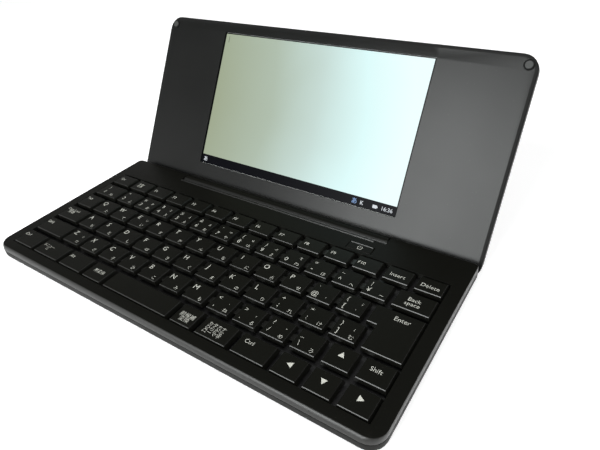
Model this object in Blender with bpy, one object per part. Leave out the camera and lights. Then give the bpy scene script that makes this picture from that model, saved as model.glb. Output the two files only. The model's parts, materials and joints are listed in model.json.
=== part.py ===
"""Pocket word processor with a hinged display lid.

The base is two shells round a keyboard, a board and a battery. The lid is two shells round a wide display.
A barrel on the lid turns on two steel pins in the rear notch of the base. X runs along the hinge, Y from the
front edge towards the hinge, and Z up from the table. The pieces of the lid are modelled closed, about the
hinge axis, and hang on an empty that turns them open.
"""

import math

import bmesh
import bpy
from mathutils import Matrix, Vector

# Overall size
CASE_WIDTH = 0.263
CASE_DEPTH = 0.1198
BASE_HEIGHT = 0.009
FOOT_HEIGHT = 0.0008
LID_THICKNESS = 0.0069
KEY_PROUD_HEIGHT = 0.0008
LID_KEY_CLEARANCE = 0.0005
LID_OPEN_DEGREES = 121.65

# Fits
PIECE_GAP = 0.0003
CUT_OVERRUN = 0.002
UNION_OVERLAP = 0.0004

# Base shells
FRONT_CORNER_RADIUS = 0.0085
REAR_CORNER_RADIUS = 0.004
CORNER_STEPS = 6
EDGE_STEPS = 3
WALL = 0.0012
FLOOR = 0.0012
DECK_PLATE = 0.0016
LOWER_CASE_HEIGHT = 0.0053
DECK_EDGE_INSET = 0.0019
DECK_SIDE_SHARE = 0.2
FLOOR_EDGE_RADIUS = 0.0024
KEY_RIM = 0.0008
KEY_RIM_CLEARANCE = 0.0006

# Hinge
HINGE_INSET = 0.0034
HINGE_RISE = 0.0047
BARREL_END_ROOM = 0.0515
BARREL_RADIUS = 0.0046
BARREL_CLEARANCE = 0.0005
BARREL_STEPS = 28
NECK_FRONT = 0.0044
NECK_REAR = 0.002
NECK_LOW = 0.0015
PIN_RADIUS = 0.0012
PIN_GRIP = 0.006
PIN_REACH = 0.012
PIN_END_ROOM = 0.001
PIN_STEPS = 16
BRACKET_LENGTH = 0.013

# Keyboard
KEY_FIELD_SIDE = 0.007
KEY_FIELD_FRONT = 0.0064
KEY_FIELD_REAR = 0.0222
KEY_PITCH_SHARE = 0.068273
FUNCTION_ROW_SHARE = 0.883871
PITCH_ROW_COUNT = 5
FUNCTION_KEY_COUNT = 14
KEY_MARGIN = 0.0012
KEY_HEIGHT = 0.003
KEY_TAPER = 0.0006
KEY_EDGE_INSET = 0.0003
KEY_EDGE_DROP = 0.0004
KEY_TRAVEL = 0.0013
STEM_WIDTH = 0.0032
STEM_ENTRY = 0.0003
WEB_DEPTH = 0.004
WEB_THICKNESS = 0.0006
WEB_RISE = 0.0002
PLATE_THICKNESS = 0.0007
PLATE_LAP = 0.0004
MEMBRANE_THICKNESS = 0.0003

# The key field fills the case but for its margins
KEY_FIELD_WIDTH = CASE_WIDTH - 2 * KEY_FIELD_SIDE
KEY_FIELD_DEPTH = CASE_DEPTH - KEY_FIELD_FRONT - KEY_FIELD_REAR
KEY_PITCH = KEY_FIELD_WIDTH * KEY_PITCH_SHARE
KEY_ROW_PITCH = KEY_FIELD_DEPTH / (PITCH_ROW_COUNT + FUNCTION_ROW_SHARE)
FUNCTION_ROW_DEPTH = KEY_ROW_PITCH * FUNCTION_ROW_SHARE

# Cells of each row, front to rear: node, number of cells, and width as a share of the key pitch.
# A width of None takes what is left of the row.
FUNCTION_WIDTH_SHARE = KEY_FIELD_WIDTH / FUNCTION_KEY_COUNT / KEY_PITCH
KEY_ROW_SHARES = (
    (("key_control_left", 1, 1.197), ("key_menu", 1, 1.45), ("key_alternate", 1, 1.276),
     ("key_no_convert", 1, 1.05), ("key_space", 1, 3.012), ("key_convert", 1, 0.974),
     ("key_kana", 1, 1.318), ("key_control_right", 1, 1.318), ("key_arrow_left", 1, 1.0),
     ("key_arrow_down", 1, 1.0), ("key_arrow_right", 1, None)),
    (("key_shift_left", 1, 1.594), ("keys_lower_row", 11, 1.0), ("key_arrow_up", 1, 1.0),
     ("key_shift_right", 1, None)),
    (("key_caps_lock", 1, 1.282), ("keys_home_row", 12, 1.0), ("key_enter", 1, None)),
    (("key_tab", 1, 0.971), ("keys_upper_row", 12, 1.0), ("key_enter", 1, None)),
    (("keys_number_row", 1, 1.294), ("keys_number_row", 12, 1.0), ("key_backspace", 1, None)),
    (("key_escape", 1, FUNCTION_WIDTH_SHARE), ("keys_function", 11, FUNCTION_WIDTH_SHARE),
     ("key_insert", 1, FUNCTION_WIDTH_SHARE), ("key_delete", 1, None)),
)

# Power button and its switch
BUTTON_WIDTH = 0.0154
BUTTON_DEPTH = 0.006
BUTTON_SIDE = 0.0624
BUTTON_BACK = 0.0148
BUTTON_PROUD = 0.0002
BUTTON_EDGE = 0.0003
BUTTON_LIP = 0.0008
BUTTON_LIP_HEIGHT = 0.0007
BUTTON_TRAVEL = 0.0004
SWITCH_WIDTH = 0.006
SWITCH_DEPTH = 0.005
SWITCH_HEIGHT = 0.0033
PLUNGER_RADIUS = 0.0013

# Pieces inside the base
BOARD_LEFT_ROOM = 0.0195
BOARD_RIGHT_ROOM = 0.0355
BOARD_FRONT_ROOM = 0.010
BOARD_BATTERY_GAP = 0.0023
BOARD_THICKNESS = 0.0008
CHIP_HEIGHT = 0.0005
CHIP_SIZE = 0.014
BATTERY_WIDTH = 0.086
BATTERY_DEPTH = 0.0112
BATTERY_HEIGHT = 0.0056
BATTERY_LEFT_ROOM = 0.0355
BATTERY_NOTCH_GAP = 0.0018
BATTERY_EDGE = 0.0012
CARD_WIDTH = 0.0115
CARD_DEPTH = 0.014
CARD_HEIGHT = 0.0013
CARD_MOUTH = 0.0007
CARD_PLACE_SHARE = 0.55092
CHARGE_WIDTH = 0.0076
CHARGE_DEPTH = 0.0055
CHARGE_HEIGHT = 0.0027
CHARGE_WALL = 0.0003
CHARGE_BACK = 0.0158

# Fasteners
SCREW_SIDE = 0.0315
SCREW_FRONT_Y = 0.0044
SCREW_BACK = 0.0148
SCREW_HEAD_RADIUS = 0.0016
SCREW_HEAD_HEIGHT = 0.0007
SCREW_RADIUS = 0.0009
SCREW_SUNK = 0.0003
SCREW_STEPS = 12
BOSS_RADIUS = 0.0018
BOSS_PAD_WALL = 0.001
THREAD_DEPTH = 0.0004

# Feet
FOOT_RADIUS = 0.005
FOOT_POCKET = 0.0005
FOOT_SIDE = 0.0195
FOOT_FRONT_Y = 0.012
FOOT_BACK = 0.0118
FOOT_EDGE = 0.0003
FOOT_STEPS = 24

# Lid shells
LID_FRONT_INSET = 0.0006
LID_CORNER_RADIUS = 0.009
LID_TABLE_CLEARANCE = 0.0003
BEZEL_THICKNESS = 0.0011
BEZEL_EDGE = 0.0005
BEZEL_FLANGE = 0.0012
BEZEL_FLANGE_HEIGHT = 0.0015
COVER_PLATE = 0.0012
COVER_EDGE_RADIUS = 0.0025
COVER_REAR_WALL = 0.0026

# Display
SCREEN_SIDE = 0.0542
SCREEN_LOW = 0.0157
SCREEN_FRONT = 0.0074
SCREEN_SUNK = 0.0007
SCREEN_THICKNESS = 0.0008
SCREEN_CORNER = 0.0008
BACKLIGHT_LAP = 0.0032
BACKLIGHT_BELOW = 0.0021
BACKLIGHT_THICKNESS = 0.0034
BACKLIGHT_FOLD = 0.0006
DRIVER_WIDTH = 0.056
DRIVER_SIDE = 0.0555
DRIVER_LOW = 0.005
DRIVER_HIGH = 0.013
DRIVER_THICKNESS = 0.0008
DRIVER_DROP = 0.0003
CABLE_WIDTH = 0.009
CABLE_THICKNESS = 0.0003
CABLE_SIDE = 0.067
CABLE_LINE = 0.0035
CABLE_END = 0.0008
CABLE_LAND = 0.009
MAGNET_LENGTH = 0.010
MAGNET_WIDTH = 0.004
MAGNET_THICKNESS = 0.002
MAGNET_SIDE = 0.0225
MAGNET_FRONT = 0.0138

# Finger scoop above the display
SCOOP_SCREEN_GAP = 0.0005
SCOOP_LIP = 0.0021
SCOOP_BREAK_DEPTH = 0.0005
SCOOP_EDGE_DEPTH = 0.0008
SCOOP_SIDE = 0.0011
SCOOP_END_RUN = 0.0054

# Rubber bumpers on the lid
BUMPER_RADIUS = 0.0027
BUMPER_SIDE = 0.0053
BUMPER_FRONT = 0.0056
BUMPER_PROUD = 0.0008
BUMPER_SEAT = 0.0002
BUMPER_EDGE = 0.0005
BUMPER_STEPS = 20
LID_SCREW_HEAD_DROP = 0.0003

# Levels above the table, and places along the depth of the case
CASE_BOTTOM = FOOT_HEIGHT
FLOOR_TOP = CASE_BOTTOM + FLOOR
LOWER_CASE_TOP = CASE_BOTTOM + LOWER_CASE_HEIGHT
DECK_LOW = LOWER_CASE_TOP + PIECE_GAP
DECK_TOP = CASE_BOTTOM + BASE_HEIGHT
DECK_UNDERSIDE = DECK_TOP - DECK_PLATE
KEY_TOP = DECK_TOP + KEY_PROUD_HEIGHT
PLATE_TOP = LOWER_CASE_TOP
SEAT = FLOOR_TOP + PIECE_GAP
HALF_WIDTH = CASE_WIDTH / 2
BARREL_LENGTH = CASE_WIDTH - 2 * BARREL_END_ROOM
HINGE_Y = CASE_DEPTH - HINGE_INSET
HINGE_Z = CASE_BOTTOM + HINGE_RISE
NOTCH_HALF_WIDTH = BARREL_LENGTH / 2 + BARREL_CLEARANCE
NOTCH_FRONT = HINGE_Y - BARREL_RADIUS - BARREL_CLEARANCE
BUTTON_X = HALF_WIDTH - BUTTON_SIDE
BUTTON_REAR = CASE_DEPTH - BUTTON_BACK
BATTERY_X = BATTERY_LEFT_ROOM + BATTERY_WIDTH / 2 - HALF_WIDTH
BATTERY_Y = NOTCH_FRONT - BATTERY_NOTCH_GAP - BATTERY_DEPTH / 2
BOARD_WIDTH = CASE_WIDTH - BOARD_LEFT_ROOM - BOARD_RIGHT_ROOM
BOARD_DEPTH = BATTERY_Y - BATTERY_DEPTH / 2 - BOARD_BATTERY_GAP - BOARD_FRONT_ROOM
BOARD_X = (BOARD_LEFT_ROOM - BOARD_RIGHT_ROOM) / 2
BOARD_Y = BOARD_FRONT_ROOM + BOARD_DEPTH / 2
CARD_Y = CASE_DEPTH * CARD_PLACE_SHARE
CHARGE_Y = CASE_DEPTH - CHARGE_BACK
SCREW_X = HALF_WIDTH - SCREW_SIDE
SCREW_REAR_Y = CASE_DEPTH - SCREW_BACK
FOOT_X = HALF_WIDTH - FOOT_SIDE
FOOT_REAR_Y = CASE_DEPTH - FOOT_BACK

# Places in the lid, from the hinge axis towards its front edge
LID_REACH = HINGE_Y - LID_FRONT_INSET
SCREEN_WIDTH = CASE_WIDTH - 2 * SCREEN_SIDE
SCREEN_HIGH = LID_REACH - SCREEN_FRONT
SCOOP_START = SCREEN_HIGH + SCOOP_SCREEN_GAP
SCOOP_BREAK = LID_REACH - SCOOP_LIP
SCOOP_HALF_WIDTH = SCREEN_WIDTH / 2 + SCOOP_SIDE
DRIVER_X = DRIVER_SIDE + DRIVER_WIDTH / 2 - HALF_WIDTH
CABLE_X = CABLE_SIDE - HALF_WIDTH
MAGNET_X = HALF_WIDTH - MAGNET_SIDE
MAGNET_REACH = LID_REACH - MAGNET_FRONT

# Heights above the hinge axis in the closed lid
BEZEL_FACE = KEY_TOP + LID_KEY_CLEARANCE - HINGE_Z
BEZEL_BACK = BEZEL_FACE + BEZEL_THICKNESS
COVER_LOW = BEZEL_BACK + PIECE_GAP
COVER_TOP = BEZEL_FACE + LID_THICKNESS
COVER_CEILING = COVER_TOP - COVER_PLATE
SCREEN_FACE = BEZEL_FACE + SCREEN_SUNK

NEAR_BLACK = (0.010, 0.010, 0.009)
DARK_GREY = (0.035, 0.036, 0.035)
KEY_BLACK = (0.008, 0.008, 0.007)
STEEL_GREY = (0.45, 0.45, 0.44)
BOARD_GREEN = (0.02, 0.12, 0.05)
FILM_AMBER = (0.35, 0.17, 0.04)
SCREEN_PALE = (0.55, 0.70, 0.65)
BATTERY_GREY = (0.22, 0.23, 0.25)


def clear_scene():
    """Remove every object that the scene starts with."""
    for thing in list(bpy.data.objects):
        bpy.data.objects.remove(thing, do_unlink=True)


def make_material(name, colour, roughness, metallic=0.0):
    """Return a plain surface of one colour."""
    surface = bpy.data.materials.new(name)
    surface.use_nodes = True
    shader = surface.node_tree.nodes["Principled BSDF"]
    shader.inputs["Base Color"].default_value = (*colour, 1.0)
    shader.inputs["Roughness"].default_value = roughness
    shader.inputs["Metallic"].default_value = metallic
    return surface


def make_empty(name, location, parent=None):
    """Return an empty that carries other pieces."""
    empty = bpy.data.objects.new(name, None)
    empty.location = location
    empty.parent = parent
    bpy.context.scene.collection.objects.link(empty)
    return empty


def finish(name, shape, parent, location=(0.0, 0.0, 0.0), surface=None, smooth=False):
    """Turn a bmesh into a named object under its parent."""
    bmesh.ops.recalc_face_normals(shape, faces=shape.faces)
    mesh = bpy.data.meshes.new(name)
    shape.to_mesh(mesh)
    shape.free()
    if smooth:
        mesh.shade_smooth()
        mesh.set_sharp_from_angle(angle=math.radians(35))
    piece = bpy.data.objects.new(name, mesh)
    piece.parent = parent
    piece.location = location
    if surface is not None:
        mesh.materials.append(surface)
    bpy.context.scene.collection.objects.link(piece)
    return piece


def as_cutter(piece):
    """Mark a piece as a tool that only shapes others."""
    piece.hide_render = True
    piece.display_type = "WIRE"
    return piece


def add_boolean(target, tool, operation):
    """Put an exact Boolean on the target."""
    modifier = target.modifiers.new(tool.name, "BOOLEAN")
    modifier.operation = operation
    modifier.solver = "EXACT"
    modifier.object = as_cutter(tool)


def cut(target, *tools):
    """Take the tools away from the target."""
    for tool in tools:
        add_boolean(target, tool, "DIFFERENCE")


def join(target, *tools):
    """Add the tools to the target."""
    for tool in tools:
        add_boolean(target, tool, "UNION")


def rectangle(x_low, x_high, y_low, y_high):
    """Return a rectangle's corners, counter-clockwise."""
    return [Vector((x_low, y_low)), Vector((x_high, y_low)), Vector((x_high, y_high)), Vector((x_low, y_high))]


def arc(centre, radius, start, sweep, steps):
    """Return the points of an arc, its ends included."""
    angles = [start + sweep * step / steps for step in range(steps + 1)]
    return [centre + radius * Vector((math.cos(angle), math.sin(angle))) for angle in angles]


def circle(radius, steps):
    """Return the points of a circle about the origin."""
    return arc(Vector((0.0, 0.0)), radius, 0.0, math.tau * (steps - 1) / steps, steps - 1)


def rounded_rectangle(x_low, x_high, y_low, y_high, front_radius, rear_radius, notch=None):
    """Return a rectangle with round corners, and with a notch in its rear edge if its three sizes are given."""
    quarter = math.pi / 2
    front_left = Vector((x_low + front_radius, y_low + front_radius))
    front_right = Vector((x_high - front_radius, y_low + front_radius))
    rear_right = Vector((x_high - rear_radius, y_high - rear_radius))
    rear_left = Vector((x_low + rear_radius, y_high - rear_radius))
    points = arc(front_left, front_radius, 2 * quarter, quarter, CORNER_STEPS)
    points += arc(front_right, front_radius, 3 * quarter, quarter, CORNER_STEPS)
    points += arc(rear_right, rear_radius, 0.0, quarter, CORNER_STEPS)
    if notch is not None:
        half_width, front = notch
        points += [Vector((half_width, y_high)), Vector((half_width, front))]
        points += [Vector((-half_width, front)), Vector((-half_width, y_high))]
    points += arc(rear_left, rear_radius, quarter, quarter, CORNER_STEPS)
    return points


def inset_polygon(points, distance):
    """Move each side of a counter-clockwise polygon inwards."""
    moved = []
    for index, point in enumerate(points):
        before = (point - points[index - 1]).normalized()
        after = (points[(index + 1) % len(points)] - point).normalized()
        normal_before = Vector((-before.y, before.x))
        normal_after = Vector((-after.y, after.x))
        mitre = (normal_before + normal_after) / (1.0 + normal_before.dot(normal_after))
        moved.append(point + mitre * distance)
    return moved


def at_height(points, height):
    """Lift a flat outline to a height."""
    return [Vector((point.x, point.y, height)) for point in points]


def across(points, x):
    """Stand an outline of depth and height in the plane at x."""
    return [Vector((x, point.x, point.y)) for point in points]


def add_loft(shape, rings):
    """Skin rings of the same number of points and close both ends."""
    loops = [[shape.verts.new(point) for point in ring] for ring in rings]
    for lower, upper in zip(loops, loops[1:]):
        for index in range(len(lower)):
            following = (index + 1) % len(lower)
            shape.faces.new((lower[index], lower[following], upper[following], upper[index]))
    shape.faces.new(reversed(loops[0]))
    shape.faces.new(loops[-1])


def loft(rings):
    """Return a bmesh with one loft."""
    shape = bmesh.new()
    add_loft(shape, rings)
    return shape


def prism(points, low, high):
    """Return a bmesh of an outline raised from low to high."""
    return loft([at_height(points, low), at_height(points, high)])


def block(x_low, x_high, y_low, y_high, low, high):
    """Return a bmesh of a plain block."""
    return prism(rectangle(x_low, x_high, y_low, y_high), low, high)


def ring_prism(outer, inner, low, high):
    """Return a bmesh of the frame between two outlines of the same number of points."""
    shape = bmesh.new()
    rings = [at_height(outer, low), at_height(outer, high), at_height(inner, high), at_height(inner, low)]
    loops = [[shape.verts.new(point) for point in ring] for ring in rings]
    for first, second in zip(loops, loops[1:] + loops[:1]):
        for index in range(len(first)):
            following = (index + 1) % len(first)
            shape.faces.new((first[index], first[following], second[following], second[index]))
    return shape


def rod(radius, steps, x_low, x_high):
    """Return a bmesh of a round rod along X."""
    outline = circle(radius, steps)
    return loft([across(outline, x_low), across(outline, x_high)])


def edge_rings(outline_at, low, high, inset, turn_up):
    """Return the rings of a wall with one rounded edge, at the top if turn_up is set and else at the bottom."""
    rings = []
    for step in range(EDGE_STEPS + 1):
        angle = math.pi / 2 * step / EDGE_STEPS
        share = math.sin(angle) if turn_up else 1.0 - math.cos(angle)
        inward = inset * (1.0 - math.cos(angle)) if turn_up else inset * (1.0 - math.sin(angle))
        rings.append(at_height(outline_at(inward), low + (high - low) * share))
    return rings


def case_outline(inset, notch_inset=0.0, side_share=1.0):
    """Return the plan of the base, drawn in by inset and by a share of it at the sides, with its hinge notch."""
    half_width = CASE_WIDTH / 2 - inset * side_share
    notch = (NOTCH_HALF_WIDTH + notch_inset, NOTCH_FRONT - notch_inset)
    return rounded_rectangle(
        -half_width, half_width, inset, CASE_DEPTH - inset,
        FRONT_CORNER_RADIUS - inset, REAR_CORNER_RADIUS - inset, notch)


def deck_outline(inset):
    """Return the plan of the deck, whose top keeps nearly its full width as its front slopes back."""
    return case_outline(inset, side_share=DECK_SIDE_SHARE)


def lid_rear_limit(height):
    """Return how far behind the hinge axis the closed lid reaches at a height, so that it opens above the table."""
    angle = math.radians(LID_OPEN_DEGREES)
    room = HINGE_Z - LID_TABLE_CLEARANCE
    return (room + height * math.cos(angle)) / math.sin(angle)


def lid_outline(inset, rear):
    """Return the plan of the closed lid about the hinge axis, drawn in by inset, as far back as rear."""
    half_width = CASE_WIDTH / 2 - inset
    return rounded_rectangle(
        -half_width, half_width, inset - LID_REACH, rear,
        LID_CORNER_RADIUS - inset, REAR_CORNER_RADIUS - inset)


def lid_ring(height, inset):
    """Return one level of the closed lid's outside."""
    return at_height(lid_outline(inset, lid_rear_limit(height) - inset), height)


def cover_rings():
    """Return the levels of the lid's outer cover, up to its rounded back."""
    rings = [lid_ring(COVER_LOW, 0.0)]
    start = COVER_TOP - COVER_EDGE_RADIUS
    for step in range(EDGE_STEPS + 1):
        angle = math.pi / 2 * step / EDGE_STEPS
        inward = COVER_EDGE_RADIUS * (1.0 - math.cos(angle))
        rings.append(lid_ring(start + COVER_EDGE_RADIUS * math.sin(angle), inward))
    return rings


def key_cells():
    """Return each node's key cells as lists of left, right, front and rear."""
    cells = {}
    for row, groups in enumerate(KEY_ROW_SHARES):
        front = KEY_FIELD_FRONT + row * KEY_ROW_PITCH
        last_row = row == len(KEY_ROW_SHARES) - 1
        rear = front + (FUNCTION_ROW_DEPTH if last_row else KEY_ROW_PITCH)
        left = -KEY_FIELD_WIDTH / 2
        for node, count, share in groups:
            for _ in range(count):
                right = KEY_FIELD_WIDTH / 2 if share is None else left + share * KEY_PITCH
                cells.setdefault(node, []).append((left, right, front, rear))
                left = right
    return cells


def key_outlines(node, cells):
    """Return the outline and the stem's place of each key of a node."""
    if node != "key_enter":
        return [(rectangle(*cell), Vector(((cell[0] + cell[1]) / 2, (cell[2] + cell[3]) / 2))) for cell in cells]
    lower, upper = cells
    outline = [Vector((lower[0], lower[2])), Vector((lower[1], lower[2])), Vector((upper[1], upper[3])),
               Vector((upper[0], upper[3])), Vector((upper[0], upper[2])), Vector((lower[0], lower[3]))]
    return [(outline, Vector(((lower[0] + lower[1]) / 2, lower[3])))]


def stem_outline(points, centre):
    """Return a square stem with as many points as the key's outline has."""
    half = STEM_WIDTH / 2
    corners = [centre + Vector(offset) for offset in ((-half, -half), (half, -half), (half, half), (-half, half))]
    extra = len(points) - len(corners)
    side = [corners[3].lerp(corners[0], (step + 1) / (extra + 1)) for step in range(extra)]
    return corners + side


def add_key(shape, outline, stem_centre, origin):
    """Add one key cap with its stem, about the origin, with its top at height zero and its front upright."""
    plan = [point - origin for point in inset_polygon(outline, KEY_MARGIN)]
    forward = Vector((0.0, -KEY_TAPER)) - origin
    brow = [point + forward for point in inset_polygon(outline, KEY_MARGIN + KEY_TAPER)]
    top = [point + forward for point in inset_polygon(outline, KEY_MARGIN + KEY_TAPER + KEY_EDGE_INSET)]
    stem = stem_outline(plan, stem_centre - origin)
    stem_bottom = PLATE_TOP - STEM_ENTRY - KEY_TOP
    add_loft(shape, [
        at_height(stem, stem_bottom), at_height(stem, -KEY_HEIGHT), at_height(plan, -KEY_HEIGHT),
        at_height(brow, -KEY_EDGE_DROP), at_height(top, 0.0)])


def make_keys(parent, surface):
    """Make every key and bank of keys, and return the places of their stems."""
    stems = []
    for node, cells in key_cells().items():
        outlines = key_outlines(node, cells)
        centres = [centre for _, centre in outlines]
        origin = sum(centres, Vector((0.0, 0.0))) / len(centres)
        shape = bmesh.new()
        for outline, centre in outlines:
            add_key(shape, outline, centre, origin)
        place = (origin.x, origin.y, KEY_TOP)
        keys = finish(node, shape, parent, place, surface)
        if len(centres) > 1:
            half_length = (centres[-1].x - centres[0].x) / 2
            low = WEB_RISE - KEY_HEIGHT
            middle = (centres[-1].x + centres[0].x) / 2 - origin.x
            web = block(middle - half_length, middle + half_length, -WEB_DEPTH / 2, WEB_DEPTH / 2,
                        low, low + WEB_THICKNESS)
            join(keys, finish(f"{node}_web", web, parent, place))
        stems += centres
    return stems


def key_opening(margin):
    """Return the sides of the deck's key opening, widened by a margin."""
    half_width = KEY_FIELD_WIDTH / 2 - KEY_RIM_CLEARANCE + margin
    front = KEY_FIELD_FRONT + KEY_RIM_CLEARANCE - margin
    rows = len(KEY_ROW_SHARES) - 1
    rear = KEY_FIELD_FRONT + rows * KEY_ROW_PITCH + FUNCTION_ROW_DEPTH - KEY_RIM_CLEARANCE + margin
    return -half_width, half_width, front, rear


def screw_places():
    """Return each case screw's node and place."""
    return {
        "case_screw_front_left": (-SCREW_X, SCREW_FRONT_Y),
        "case_screw_front_right": (SCREW_X, SCREW_FRONT_Y),
        "case_screw_rear_left": (-SCREW_X, SCREW_REAR_Y),
        "case_screw_rear_right": (SCREW_X, SCREW_REAR_Y),
    }


def foot_places():
    """Return each foot's node and place."""
    return {
        "foot_front_left": (-FOOT_X, FOOT_FRONT_Y),
        "foot_front_right": (FOOT_X, FOOT_FRONT_Y),
        "foot_rear_left": (-FOOT_X, FOOT_REAR_Y),
        "foot_rear_right": (FOOT_X, FOOT_REAR_Y),
    }


def upright(radius, steps, low, high):
    """Return a bmesh of an upright round post."""
    return prism(circle(radius, steps), low, high)


def make_lower_case(root, surface):
    """Make the tray that the base stands on."""
    rings = edge_rings(case_outline, CASE_BOTTOM, CASE_BOTTOM + FLOOR_EDGE_RADIUS, FLOOR_EDGE_RADIUS, False)
    case = finish("lower_case", loft(rings + [at_height(case_outline(0.0), LOWER_CASE_TOP)]), root, surface=surface)
    inner = case_outline(WALL, WALL)
    cut(case, finish("case_hollow", prism(inner, FLOOR_TOP, LOWER_CASE_TOP + CUT_OVERRUN), root))
    head_top = CASE_BOTTOM + SCREW_SUNK + SCREW_HEAD_HEIGHT + PIECE_GAP
    for node, (x, y) in screw_places().items():
        boss = upright(BOSS_RADIUS, SCREW_STEPS, FLOOR_TOP - UNION_OVERLAP, LOWER_CASE_TOP)
        pad = upright(SCREW_HEAD_RADIUS + BOSS_PAD_WALL, SCREW_STEPS, FLOOR_TOP - UNION_OVERLAP, head_top + FLOOR)
        join(case, finish(f"{node}_case_boss", boss, root, (x, y, 0.0)),
             finish(f"{node}_case_pad", pad, root, (x, y, 0.0)))
        recess = upright(SCREW_HEAD_RADIUS + PIECE_GAP, SCREW_STEPS, CASE_BOTTOM - CUT_OVERRUN, head_top)
        bore = upright(SCREW_RADIUS + PIECE_GAP, SCREW_STEPS, CASE_BOTTOM, LOWER_CASE_TOP + CUT_OVERRUN)
        cut(case, finish(f"{node}_recess", recess, root, (x, y, 0.0)))
        cut(case, finish(f"{node}_case_bore", bore, root, (x, y, 0.0)))
    for node, (x, y) in foot_places().items():
        pocket = upright(FOOT_RADIUS + PIECE_GAP, FOOT_STEPS, CASE_BOTTOM - CUT_OVERRUN, CASE_BOTTOM + FOOT_POCKET)
        cut(case, finish(f"{node}_pocket", pocket, root, (x, y, 0.0)))
    for side in (-1, 1):
        cut(case, pin_cutter(f"case_pin_hole_{side}", root, side))
    left = -CASE_WIDTH / 2 - CUT_OVERRUN
    card_half = CARD_WIDTH / 2 - CARD_MOUTH / 2
    card_mouth = block(left, left + CUT_OVERRUN + WALL + CUT_OVERRUN, CARD_Y - card_half, CARD_Y + card_half,
                       SEAT, SEAT + CARD_HEIGHT)
    cut(case, finish("card_window", card_mouth, root))
    charge_half = CHARGE_WIDTH / 2 + PIECE_GAP
    window = block(left, left + CUT_OVERRUN + WALL + CUT_OVERRUN, CHARGE_Y - charge_half, CHARGE_Y + charge_half,
                   SEAT - PIECE_GAP / 2, SEAT + CHARGE_HEIGHT + PIECE_GAP)
    cut(case, finish("charging_window", window, root))
    return case


def pin_cutter(name, root, side):
    """Return the tool for a hinge pin's hole in the end wall of the notch."""
    start = NOTCH_HALF_WIDTH - BARREL_CLEARANCE
    end = NOTCH_HALF_WIDTH + WALL + PIECE_GAP
    low, high = sorted((side * start, side * end))
    return finish(name, rod(PIN_RADIUS + PIECE_GAP, PIN_STEPS, low, high), root, (0.0, HINGE_Y, HINGE_Z))


def make_deck_frame(root, surface):
    """Make the upper shell round the keys."""
    rings = edge_rings(deck_outline, DECK_LOW, DECK_TOP, DECK_EDGE_INSET, True)
    deck = finish("deck_frame", loft(rings), root, surface=surface)
    hollow = finish("deck_hollow", prism(case_outline(WALL, WALL), DECK_LOW - CUT_OVERRUN, DECK_UNDERSIDE), root)
    rim = finish("key_rim", block(*key_opening(KEY_RIM), DECK_LOW - 2 * CUT_OVERRUN, DECK_TOP), root)
    cut(hollow, rim)
    cut(deck, hollow)
    for node, (x, y) in screw_places().items():
        boss = upright(BOSS_RADIUS, SCREW_STEPS, DECK_LOW, DECK_UNDERSIDE + UNION_OVERLAP)
        join(deck, finish(f"{node}_deck_boss", boss, root, (x, y, 0.0)))
        bore = upright(SCREW_RADIUS + PIECE_GAP, SCREW_STEPS, DECK_LOW - CUT_OVERRUN, DECK_UNDERSIDE + THREAD_DEPTH)
        cut(deck, finish(f"{node}_deck_bore", bore, root, (x, y, 0.0)))
    cut(deck, finish("key_opening", block(*key_opening(0.0), DECK_LOW - CUT_OVERRUN, DECK_TOP + CUT_OVERRUN), root))
    half_width = BUTTON_WIDTH / 2 + PIECE_GAP
    slot = block(BUTTON_X - half_width, BUTTON_X + half_width, BUTTON_REAR - BUTTON_DEPTH - PIECE_GAP,
                 BUTTON_REAR + PIECE_GAP, DECK_UNDERSIDE - CUT_OVERRUN, DECK_TOP + CUT_OVERRUN)
    cut(deck, finish("button_slot", slot, root))
    for side in (-1, 1):
        cut(deck, pin_cutter(f"deck_pin_hole_{side}", root, side))
    return deck


def make_keyboard_plate(root, stems, surface):
    """Make the steel plate whose square holes guide the key stems."""
    outline = rectangle(*key_opening(PLATE_LAP))
    plate = finish("keyboard_plate", prism(outline, PLATE_TOP - PLATE_THICKNESS, PLATE_TOP), root, surface=surface)
    half = STEM_WIDTH / 2 + PIECE_GAP
    holes = bmesh.new()
    low = PLATE_TOP - PLATE_THICKNESS - CUT_OVERRUN
    for stem in stems:
        square = rectangle(stem.x - half, stem.x + half, stem.y - half, stem.y + half)
        add_loft(holes, [at_height(square, low), at_height(square, PLATE_TOP + CUT_OVERRUN)])
    cut(plate, finish("stem_holes", holes, root))


def make_membrane(root, surface):
    """Make the contact sheet that the pressed stems reach."""
    pressed_stem = PLATE_TOP - STEM_ENTRY - KEY_TRAVEL
    top = pressed_stem - PIECE_GAP
    outline = rectangle(*key_opening(PLATE_LAP))
    finish("contact_membrane", prism(outline, top - MEMBRANE_THICKNESS, top), root, surface=surface)


def make_main_board(root, surface):
    """Make the main board with its larger chips."""
    low_x, high_x = BOARD_X - BOARD_WIDTH / 2, BOARD_X + BOARD_WIDTH / 2
    low_y, high_y = BOARD_Y - BOARD_DEPTH / 2, BOARD_Y + BOARD_DEPTH / 2
    board = finish("main_board", block(low_x, high_x, low_y, high_y, SEAT, SEAT + BOARD_THICKNESS), root,
                   surface=surface)
    chip_shares = ((-0.3, 0.2), (-0.12, 0.22), (0.1, -0.1), (0.32, 0.24))
    for index, (share_x, share_y) in enumerate(chip_shares):
        x = BOARD_X + share_x * BOARD_WIDTH
        y = BOARD_Y + share_y * BOARD_DEPTH
        chip = block(-CHIP_SIZE / 2, CHIP_SIZE / 2, -CHIP_SIZE / 2, CHIP_SIZE / 2,
                     SEAT + BOARD_THICKNESS / 2, SEAT + BOARD_THICKNESS + CHIP_HEIGHT)
        join(board, finish(f"chip_{index}", chip, root, (x, y, 0.0)))


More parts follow.
